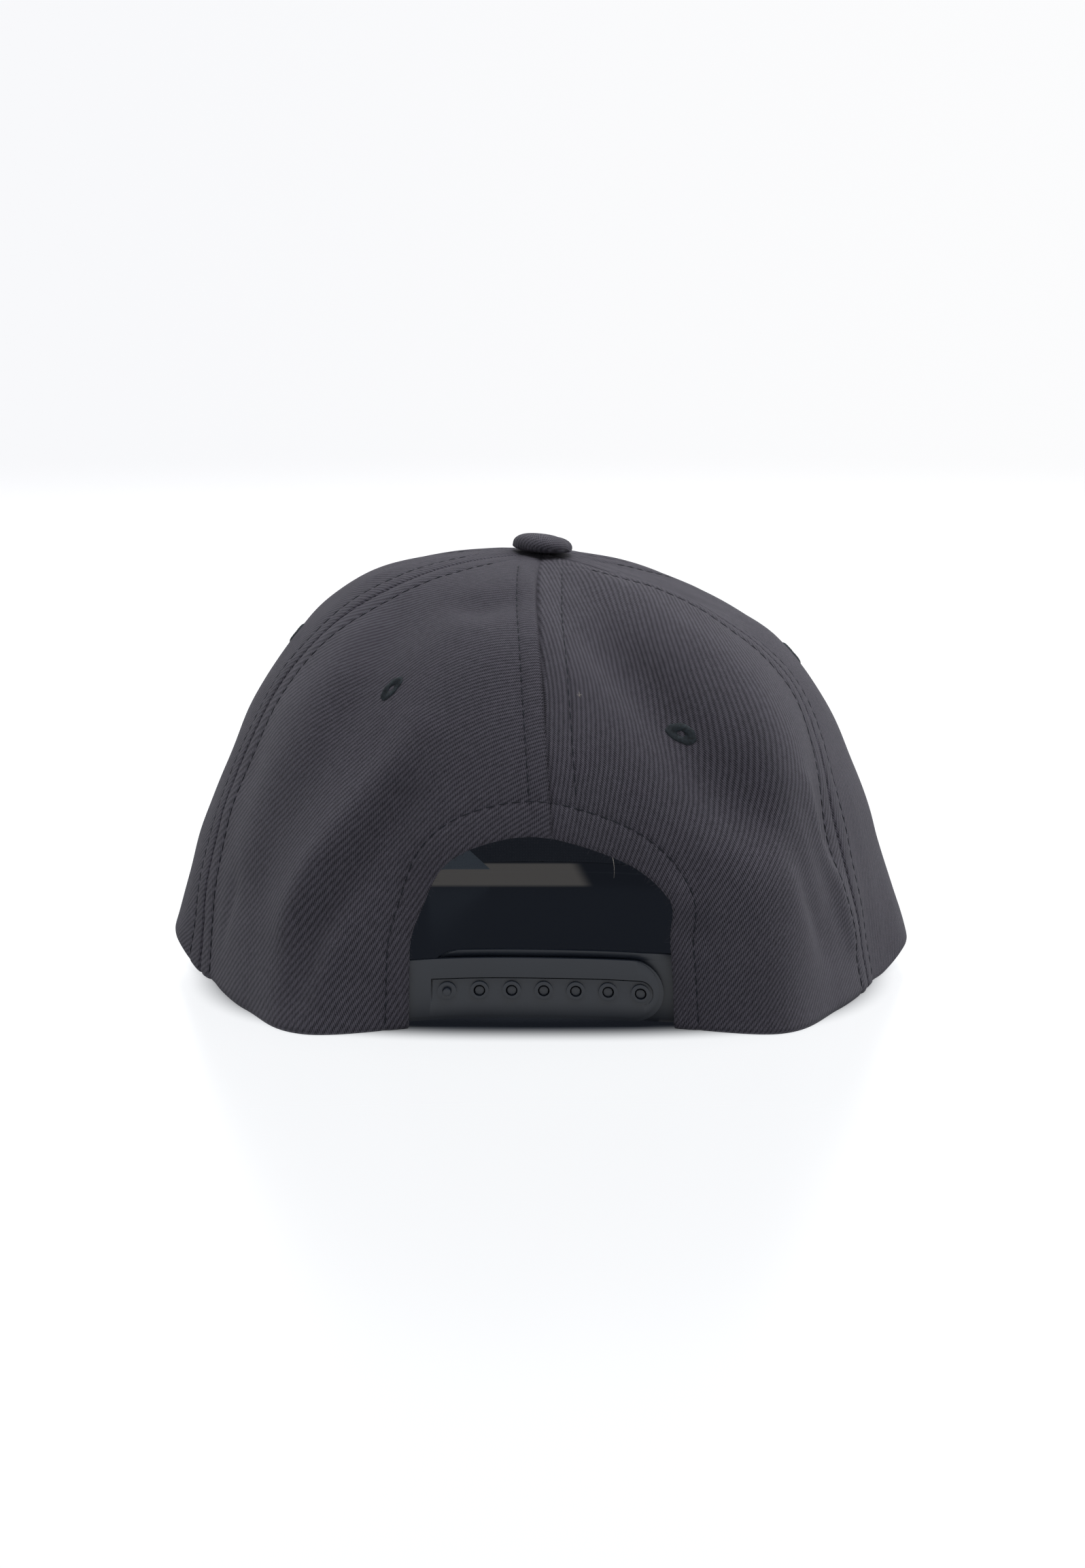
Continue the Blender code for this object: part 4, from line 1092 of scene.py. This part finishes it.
starts = np.concatenate([on_crown(arch_turn[end], arch_rise[end])] + [on_crown(*LINT, 0.00005)] * 5)
ways = np.array([(-0.3, 0.5, -1.0), (1, 0, 0.2), (-1, 0, 0.4), (0.3, 0, 1), (-0.4, 0, -1), (0.7, 0, -0.8)])
lengths = (0.0042, 0.0008, 0.0007, 0.0009, 0.0007, 0.0006)
fibres("pale_lint", LINT_COLOUR, starts, ways, lengths, LINT_RADIUS)

# The button: a pressed tin dome wrapped in the same twill, gathered under its edge and riveted
# through the top of the crown, so it sits slightly tipped.
BUTTON_RADIUS = 0.0078
BUTTON_HEIGHT = 0.0044
BUTTON_TILT = 4.0
BUTTON_FOOT = -0.0003
BUTTON_WALE_LEAN = 50.0

button = primitive(bpy.ops.mesh.primitive_uv_sphere_add, segments=96, ring_count=48, radius=1)
button.name = "button_cloth"
ball = np.array([vertex.co for vertex in button.data.vertices])
angle = np.arctan2(ball[:, 1], ball[:, 0])
out = np.hypot(ball[:, 0], ball[:, 1])
top = np.clip(ball[:, 2], 0, 1)
under = np.clip(-ball[:, 2], 0, 1)
plump = np.sign(out) * out**0.72
height = BUTTON_HEIGHT * np.where(top > 0, 0.30 + 0.70 * top**0.85, 0.30 - 0.30 * under**0.6)
edge = bell(out - 0.95, 0.12)
gathers = 0.00016 * np.cos(11 * angle + 1.3 * np.sin(3 * angle)) * edge * (0.4 + 0.6 * (under > 0))
crown_lean = 0.10 * np.cos(angle - 0.3) * plump
radius = BUTTON_RADIUS * plump + gathers
crease = -0.00035 * bell(ball[:, 1] * 0.6 + ball[:, 0] * 0.8 + 0.45, 0.10) * (ball[:, 0] < 0) * (top > 0)
height = BUTTON_FOOT + height * (1 + crown_lean) + crease
spots = np.stack([radius * np.cos(angle), radius * np.sin(angle), height], 1)
spread = BUTTON_RADIUS * np.stack([-np.cos(angle), -np.sin(angle)], 1) * (np.arctan2(out, top) / 1.3)[:, None]
lay_out(button, spots, turned_flat(spread, BUTTON_WALE_LEAN))
tip = Matrix.Rotation(math.radians(-BUTTON_TILT), 4, "Y")
button.data.transform(Matrix.Translation(CAP_AXIS + Vector((0, 0, CROWN_HEIGHT))) @ tip)
dress(button, twill, "twill", "button")

# The eyelets: vent holes whose edges are covered by machine embroidery, each ring a dense wrap of
# dark teal thread that draws the cloth down round it.
EYELET_RING = 0.0021
EYELET_BEAD = 0.00130
EYELET_RISE = 0.00030
EYELET_WRAPS = 44
EYELET_COLOUR = (0.0092, 0.0134, 0.0172, 1)
embroidery = thread_material("dark teal embroidery", EYELET_COLOUR, 1500.0)

for eyelet in EYELETS:
    sizes = {"major_radius": EYELET_RING, "minor_radius": EYELET_BEAD}
    ring = primitive(bpy.ops.mesh.primitive_torus_add, major_segments=176, minor_segments=14, **sizes)
    ring.name = eyelet.name.replace("eyelet", "ring")
    flat = np.array([vertex.co for vertex in ring.data.vertices])
    angle = np.arctan2(flat[:, 1], flat[:, 0])
    away = np.hypot(flat[:, 0], flat[:, 1])
    wrap = 0.00010 * np.abs(np.cos(angle * EYELET_WRAPS / 2 + 0.5 * (away - EYELET_RING) / EYELET_BEAD))
    uneven = 1 + 0.05 * np.sin(3 * angle + eyelet.azimuth) + 0.03 * np.sin(7 * angle)
    away = away * uneven
    lean = math.radians(eyelet.lean)
    long_way = away * np.cos(angle - lean) * 1.08
    short_way = away * np.sin(angle - lean) * eyelet.squash
    away = np.hypot(long_way, short_way)
    angle = np.arctan2(short_way, long_way) + lean
    lift = flat[:, 2] * 0.42 * (1 + wrap / EYELET_BEAD) + wrap * (flat[:, 2] > 0) + EYELET_RISE - 0.0005
    spot = on_crown(eyelet.azimuth, eyelet.rise)[0] - np.array(CAP_AXIS)
    radius = math.hypot(spot[0], spot[1])
    step = 0.004
    above, below = (crown_points(eyelet.azimuth, eyelet.rise + move) for move in (step, -step))
    slope = np.linalg.norm(above - below)
    turn = eyelet.azimuth - np.degrees(away * np.cos(angle) / radius)
    rise = eyelet.rise + away * np.sin(angle) / (slope / (2 * step))
    ring.data.vertices.foreach_set("co", on_crown(turn, rise, lift + rumples(turn, rise)).ravel())
    dress(ring, embroidery, "thread", eyelet.name)

# The brim: a flat stiff board covered in twill above and below, with eight rows of stitching that
# follow its outer edge, sewn to the front of the crown.
BRIM_WIDTH = 0.178
BRIM_REACH = 0.068
BRIM_THICKNESS = 0.003
BRIM_CORNER_AZIMUTH = 118.0
BRIM_CORNER_WIDTH = 0.003
BRIM_FULLNESS = 2.5
BRIM_FLAT_FROM = 0.75
BRIM_INSET = 0.00045
BRIM_ROWS_OF_STITCHING = 8
BRIM_FIRST_ROW = 0.0035
BRIM_ROW_PITCH = 0.0065
BRIM_STITCH_PITCH = 0.0032
BRIM_STITCH_SINK = 0.00028


def brim_edges(share):
    """Inner and outer edge of the brim's underside, for shares from -1 to 1 across it."""
    turn = 180 + share * (180 - BRIM_CORNER_AZIMUTH)
    rim = crown_points(turn, np.zeros(len(turn)))
    out = crown_normals(turn, np.zeros(len(turn)))
    out[..., 2] = 0
    inner = rim + unit(out) * BRIM_INSET
    corner = abs(float(crown_points(180 - (180 - BRIM_CORNER_AZIMUTH), 0.0)[0, 1]))
    half = BRIM_WIDTH / 2
    reach = CROWN_LENGTH / 2 + BRIM_REACH - corner
    swing = share * math.pi / 2
    across = np.sign(share) * np.abs(np.sin(swing)) ** (2 / BRIM_FULLNESS) * half
    forward = -corner - reach * np.abs(np.cos(swing)) ** (2 / BRIM_FULLNESS)
    outer = np.stack([-across, forward, np.zeros(len(share))], axis=1)
    ends = np.abs(share) ** 12
    outer[:, 0] = outer[:, 0] * (1 - ends) + ends * (inner[:, 0] + np.sign(inner[:, 0]) * BRIM_CORNER_WIDTH)
    return inner, outer


def brim_spots(share, along):
    """Points on the brim's underside, along from 0 at the crown to 1 at the outer edge."""
    inner, outer = brim_edges(share)
    spots = inner * (1 - along[:, None]) + outer * along[:, None]
    spots[:, 2] = inner[:, 2] * np.clip(1 - along / BRIM_FLAT_FROM, 0, 1) ** 2
    return spots + np.array(CAP_AXIS)


brim, across, round_it = grid_of("brim_cloth", 180, 132)
share = 2 * across - 1
share = np.sign(share) * (1 - (1 - np.abs(share)) ** 1.25)
EDGE_PART = 0.06
top_part = (1 - 2 * EDGE_PART) / 2
edge_angle = np.clip((round_it - top_part) / (2 * EDGE_PART), 0, 1) * math.pi
on_top = round_it < top_part
under = round_it > top_part + 2 * EDGE_PART
inner, outer = brim_edges(share)
length = np.linalg.norm(outer - inner, axis=1)
edge_share = BRIM_THICKNESS / 2 / np.maximum(length, 0.004)
along = np.where(on_top, round_it / top_part * (1 - edge_share), 1 - edge_share)
along = np.where(under, (1 - round_it) / top_part * (1 - edge_share), along)
rolling = ~(on_top | under)
along = np.where(rolling, 1 - edge_share + edge_share * np.sin(edge_angle), along)
spots = brim_spots(share, along)
from_edge = (1 - along) * length
height = np.where(on_top, BRIM_THICKNESS, 0.0)
height = np.where(rolling, BRIM_THICKNESS / 2 * (1 + np.cos(edge_angle)), height)
sink = np.zeros(len(share))
for row in range(BRIM_ROWS_OF_STITCHING):
    gap = from_edge - (BRIM_FIRST_ROW + row * BRIM_ROW_PITCH)
    sink += BRIM_STITCH_SINK * bell(gap, 0.0009)
height = height - np.where(on_top, sink, 0)
spots[:, 2] = np.maximum(spots[:, 2] + height, 0)
lay_out(brim, spots, turned_flat(np.stack([-spots[:, 0], spots[:, 1]], 1), WALE_LEAN))
row = int((round_it == 0).sum())
last = len(round_it) - row
work = bmesh.new()
work.from_mesh(brim.data)
work.verts.ensure_lookup_table()
for i in range(row - 1):
    work.faces.new([work.verts[k] for k in (i, i + 1, last + i + 1, last + i)])
for end in (0, row - 1):
    work.faces.new([work.verts[k] for k in range(end, len(round_it), row)])
bmesh.ops.remove_doubles(work, verts=work.verts, dist=0.00002)
bmesh.ops.recalc_face_normals(work, faces=work.faces)
work.to_mesh(brim.data)
work.free()
dress(brim, twill, "twill", "brim")

brim_lines = []
for row in range(BRIM_ROWS_OF_STITCHING):
    share = np.linspace(-0.985, 0.985, 400)
    inner, outer = brim_edges(share)
    length = np.linalg.norm(outer - inner, axis=1)
    along = 1 - (BRIM_FIRST_ROW + row * BRIM_ROW_PITCH) / np.maximum(length, 0.001)
    keep = along > 0.04
    line = brim_spots(share[keep], along[keep])
    line[:, 2] += BRIM_THICKNESS - 0.00022
    brim_lines.append((line, np.tile([0.0, 0.0, 1.0], (len(line), 1)), BRIM_STITCH_PITCH))
sew("brim_stitching", brim_lines)

# The sweatband: a folded black cotton tape sewn inside the rim all round but the arch, where its ends
# pass over the strap's tabs.
BAND_HEIGHT = 0.030
BAND_WALL = 0.0012
BAND_END = 0.0335
BAND_BLEND = 0.022
FIT_GAP = 0.0003
STRAP_BASE = 0.0010
STRAP_STEP = 0.0003
BAND_BLACK = (0.016, 0.018, 0.022, 1)
BAND_THREADS = (0.034, 0.037, 0.044, 1)


# The glow is painted light: a dim emission that stands in for the light reaching the tape and the tag in the
# shade inside the cap.
def tape_material(name, dark, light, painted_glow, ribs=0.0009):
    made, add, shader = new_material(name)
    cloth = add("ShaderNodeUVMap", {"uv_map": "cloth"}).outputs["UV"]
    warp, weft = (
        add("ShaderNodeTexWave", {"bands_direction": way}, Vector=cloth, Scale=0.314 / ribs, Distortion=0.4)
        for way in "XY"
    )
    weave = arithmetic(add)("MULTIPLY", warp.outputs["Fac"], weft.outputs["Fac"])
    set_surface(
        shader,
        Base_Color=colour_ramp(add, weave, (0, dark), (1, light)),
        Normal=add("ShaderNodeBump", Strength=0.7, Distance=0.00012, Height=weave).outputs[0],
        Roughness=0.8,
        Sheen_Weight=0.1,
        Emission_Color=painted_glow,
        Emission_Strength=1.0,
    )
    return made


# The sweatband glows with the painted fill light under the cap.
black_tape = tape_material("black cotton tape", BAND_BLACK, BAND_THREADS, PAINTED_FILL_UNDER_CAP)


def inside_crown(azimuth, rise, depth):
    return on_crown(azimuth, rise, -np.asarray(depth))


def band_depth(distance):
    """Depth of the band's outer side below the crown, deeper where it passes over the strap tabs."""
    plain = PANEL_WALL + 3 * FIT_GAP
    over_tabs = plain + 2 * (STRAP_BASE + STRAP_STEP + FIT_GAP) + FIT_GAP
    return over_tabs + (plain - over_tabs) * eased((np.abs(distance) - BAND_END) / BAND_BLEND)


band, across, up = grid_of("sweatband_tape", 300, 30)
start = float(azimuth_at_distance(BAND_END))
turn = (360 - start) - across * (360 - 2 * start)
near = np.where(turn > 180, turn - 360, turn)
distance = np.radians(near) * CROWN_LENGTH / 2 * 1.05
height = 3 * FIT_GAP + up * (BAND_HEIGHT - 3 * FIT_GAP)
rise = rise_at_height(height)
fold_line = 0.0002 * bell(height - BAND_HEIGHT + 0.003, 0.0008)
spots = inside_crown(turn, rise, band_depth(distance) + fold_line)
lay_out(band, spots, np.stack([np.radians(turn) * CROWN_WIDTH / 2, height], 1))
thicken(band, BAND_WALL)
dress(band, black_tape, "satin", "sweatband")

# The tag: a small folded care tag caught under the sweatband.
TAG_WIDTH = 0.018
TAG_DROP = 0.012
TAG_WALL = 0.0010
TAG_AZIMUTH = 163.0
TAG_TOP = 0.0136
# Painted fill light: the tag glows a little, standing in for light reaching it inside the cap.
TAG_PAINTED_FILL = (0.022, 0.027, 0.034, 1)
TAG_DARK = (0.040, 0.050, 0.062, 1)
TAG_LIGHT = (0.085, 0.100, 0.120, 1)
tag_cloth = tape_material("blue grey satin tag", TAG_DARK, TAG_LIGHT, TAG_PAINTED_FILL, 0.0004)

tag, across, up = grid_of("tag_cloth", 24, 18)
depth = PANEL_WALL + BAND_WALL + 6 * FIT_GAP
seat = inside_crown(np.array([TAG_AZIMUTH]), rise_at_height(np.array([TAG_TOP])), np.array([depth]))[0]
facing = crown_normals(np.array([TAG_AZIMUTH]), rise_at_height(np.array([TAG_TOP])))[0]
turn = math.atan2(facing[1], facing[0]) - math.pi / 2
tag_left = -TAG_WIDTH / 2 * (1 - 0.1 * up)
tag_right = TAG_WIDTH / 2 * (1 - 1.5 * up)
side = tag_left + (tag_right - tag_left) * across
drop = (up - 1) * (TAG_DROP + 0.0009)
curl = (0.0008 + 0.0030 * across) * (1 - up) ** 2
spots = np.stack(
    [
        seat[0] + side * math.cos(turn) + curl * math.sin(turn),
        seat[1] + side * math.sin(turn) - curl * math.cos(turn),
        seat[2] + drop,
    ],
    1,
)
lay_out(tag, spots, np.stack([side, drop], 1))
thicken(tag, TAG_WALL * 0.9)
dress(tag, tag_cloth, "satin", "tag")

# The snap straps: two moulded black plastic strips, sewn behind the feet of the arch. The outer one
# has seven ringed holes and a round tip, and the inner one carries the pegs.
STRAP_HEIGHT = 0.0152
STRAP_FLOOR_GAP = 0.0017
STRAP_LOWEST = 0.0008
STRAP_TAB = 0.0095
STRAP_ARCHING = 0.0012
STRAP_SLOPE = 0.0145
STRAP_LIP = 0.0010
PEG_STRAP_EXTRA = 0.0019
PEG_LIP_TILT = -0.0010
SNAP_COUNT = 7
SNAP_PITCH = 0.00777
SNAP_HEIGHT = 0.00715
SNAP_END_MARGIN = 0.0055
HOLE_RADIUS = 0.0014
RING_RADIUS = 0.00225
RING_RISE = 0.0004
CHANNEL_TOP = 0.0028
CHANNEL_END = 0.0013
CHANNEL_DEPTH = 0.00055
GROOVE_WIDTH = 0.00028
GROOVE_DROP = 1.9
PEG_CLEARANCE = 0.0003
PEG_RADIUS = 0.00118
PEG_SAG = 0.00018
GUIDE_PEG_RADIUS = 0.00098
GUIDE_PEG_REACH = 0.0013
PEG_RECESS = 0.0001
STRAP_CUTS = 72
PLASTIC_BLACK = (0.0046, 0.0080, 0.0150, 1)
PLASTIC_WORN = (0.0078, 0.0115, 0.0190, 1)

plastic, add, shader = new_material("satin black plastic")
place = add("ShaderNodeTexCoord").outputs["Object"]
grain = noise(add, place, 3200.0, 2.0)
flow = noise(add, place, 60.0, 3.0)
gloss_range = add("ShaderNodeMapRange", Value=flow)
gloss_range.inputs["To Min"].default_value = 0.34
gloss_range.inputs["To Max"].default_value = 0.46
set_surface(
    shader,
    Base_Color=colour_ramp(add, flow, (0.35, PLASTIC_BLACK), (0.75, PLASTIC_WORN)),
    Roughness=gloss_range.outputs["Result"],
    Normal=add("ShaderNodeBump", Strength=0.25, Distance=0.00002, Height=grain).outputs[0],
    Specular_IOR_Level=0.54,
)

snaps = [((SNAP_COUNT - 1) / 2 - i) * SNAP_PITCH - PEG_CLEARANCE for i in range(SNAP_COUNT)]


def round_bar(x, radius, bottom, top, sides=40, y=SNAP_HEIGHT):
    maker = bpy.ops.mesh.primitive_cylinder_add
    place = (x, y, (bottom + top) / 2)
    bar = primitive(maker, vertices=sides, radius=radius, depth=top - bottom, location=place)
    bpy.ops.object.transform_apply(location=True, rotation=True, scale=True)
    return bar


def strap_plate(name, tip, foot, low, high, bottom, top):
    """A flat strip with one round end, made from a disc whose far half is drawn out to the foot."""
    toward = 1 if tip > foot else -1
    radius = (high - low) / 2
    middle = Vector((tip - toward * radius, (low + high) / 2, (bottom + top) / 2))
    made = round_bar(middle.x, radius, bottom, top, 96, middle.y)
    made.name = name
    bpy.ops.object.mode_set(mode="EDIT")
    bpy.ops.mesh.select_all(action="DESELECT")
    work = bmesh.from_edit_mesh(made.data)
    for vertex in work.verts:
        vertex.select = toward * (vertex.co.x - middle.x) < -1e-6
    work.select_flush_mode()
    bmesh.update_edit_mesh(made.data)
    bpy.ops.transform.resize(value=(0, 1, 1), center_override=(foot, middle.y, middle.z))
    bpy.ops.object.mode_set(mode="OBJECT")
    return made


def combine(target, tool, operation):
    """Adds a shape to a piece or cuts it away, and removes the tool."""
    reshape(target, "BOOLEAN", operation=operation, object=tool)
    bpy.data.objects.remove(tool)


def soften(piece, width):
    """Rounds a piece's sharp edges as moulding does."""
    reshape(piece, "BEVEL", width=width, segments=2, limit_method="ANGLE", angle_limit=math.radians(40))


def wrap_strap(piece, depth_at, lip_tilt=0.0):
    """Cuts a flat strip across so that it can bend, then lays it along the back of the crown."""
    work = bmesh.new()
    work.from_mesh(piece.data)
    low = min(vertex.co.x for vertex in work.verts)
    high = max(vertex.co.x for vertex in work.verts)
    cuts = [((low + (high - low) * i / STRAP_CUTS, 0, 0), (1, 0, 0)) for i in range(1, STRAP_CUTS)]
    cuts += [((0, STRAP_HEIGHT - 0.0002 + 0.0004 * i, 0), (0, 1, 0)) for i in range(4)]
    for spot, way in cuts:
        everything = work.verts[:] + work.edges[:] + work.faces[:]
        bmesh.ops.bisect_plane(work, geom=everything, plane_co=spot, plane_no=way, dist=1e-7)
    flat = np.array([vertex.co for vertex in work.verts])
    turn = azimuth_at_distance(flat[:, 0])
    sag = STRAP_ARCHING * (flat[:, 0] / ARCH_HALF_WIDTH) ** 2
    sag += 0.00015 - STRAP_SLOPE * flat[:, 0]
    rise = rise_at_height(np.maximum(STRAP_FLOOR_GAP + flat[:, 1] - sag + STRAP_ARCHING / 2, STRAP_LOWEST))
    lip = np.clip((flat[:, 1] - STRAP_HEIGHT + 0.0002) / PEG_STRAP_EXTRA, 0, 1)
    fading = np.clip((flat[:, 0] + 0.030) / 0.006, 0, 1)
    laid = inside_crown(turn, rise, depth_at(flat[:, 0]) - flat[:, 2] + lip_tilt * lip * fading)
    for vertex, spot in zip(work.verts, laid):
        vertex.co = spot
    bmesh.ops.reverse_faces(work, faces=work.faces)
    work.to_mesh(piece.data)
    work.free()


def finish_strap(piece, node):
    dress(piece, plastic, "plastic", node)
    pick(piece)
    bpy.ops.object.shade_smooth_by_angle(angle=math.radians(32))


front = STRAP_BASE + STRAP_STEP


def strap_blank(name, tip, foot, tall):
    """A flat strap with a thinner lip round its tip and along its lower edge."""
    toward = 1 if tip > foot else -1
    blank = strap_plate(name, tip, foot, 0, tall, 0, STRAP_BASE)
    body = strap_plate("body", tip - toward * STRAP_LIP, foot, STRAP_LIP, tall, STRAP_BASE / 2, front)
    combine(blank, body, "UNION")
    return blank


def recess(name, grow, lift, drop):
    """A cutter round the snap holes, tipped so that its upper edge lies this much deeper than its lower."""
    low = SNAP_HEIGHT - CHANNEL_TOP
    high = SNAP_HEIGHT + CHANNEL_TOP
    end = snaps[0] + RING_RADIUS + CHANNEL_END
    cutter = strap_plate(name, snaps[-1] - CHANNEL_TOP - grow, end + grow, low - grow, high + grow, 0, 0.002)
    to_edge = Matrix.Translation((0, low, front + lift))
    turn = Matrix.Rotation(-drop * math.atan2(CHANNEL_DEPTH, high - low), 4, "X")
    cutter.data.transform(to_edge @ turn @ Matrix.Translation((0, -low, 0)))
    return cutter


foot = ARCH_HALF_WIDTH + STRAP_TAB
outer_strap = strap_blank("strap_outer", snaps[-1] - SNAP_END_MARGIN, foot, STRAP_HEIGHT)
groove = recess("groove", GROOVE_WIDTH, 0.00006, GROOVE_DROP)
combine(groove, recess("land", 0, -0.00098, 1), "DIFFERENCE")
combine(outer_strap, recess("channel", 0, 0.00002, 1), "DIFFERENCE")
combine(outer_strap, groove, "DIFFERENCE")
for x in snaps:
    combine(outer_strap, round_bar(x, RING_RADIUS, STRAP_BASE / 2, front + RING_RISE, 56), "UNION")
for i, x in enumerate(snaps):
    hole = HOLE_RADIUS if i else GUIDE_PEG_RADIUS + 0.00006
    combine(outer_strap, round_bar(x, hole, -0.001, 0.003), "DIFFERENCE")
soften(outer_strap, 0.00010)
near_depth = PANEL_WALL + FIT_GAP + front
wrap_strap(outer_strap, lambda along: np.full(len(along), near_depth))
finish_strap(outer_strap, "strap_holes")

inner_strap = strap_blank("strap_inner", snaps[0] + SNAP_END_MARGIN, -foot, STRAP_HEIGHT + PEG_STRAP_EXTRA)
soften(inner_strap, 0.00010)
pegs = []
outer_face = front + FIT_GAP + front
for i, x in enumerate(snaps):
    reach = outer_face + GUIDE_PEG_REACH if i == 0 else outer_face - PEG_RECESS
    peg = round_bar(x, PEG_RADIUS if i else GUIDE_PEG_RADIUS, STRAP_BASE / 2, reach)
    if i:
        peg.data.transform(Matrix.Translation((0, -PEG_SAG, 0)))
    soften(peg, 0.00022)
    pegs.append(peg)
pick(inner_strap, *pegs)
bpy.ops.object.join()
deep = near_depth + FIT_GAP + front


def inner_strap_depth(along):
    return deep + (near_depth - deep) * eased((-along - ARCH_HALF_WIDTH) / (STRAP_TAB * 0.8))


wrap_strap(inner_strap, inner_strap_depth, PEG_LIP_TILT)
finish_strap(inner_strap, "strap_pegs")
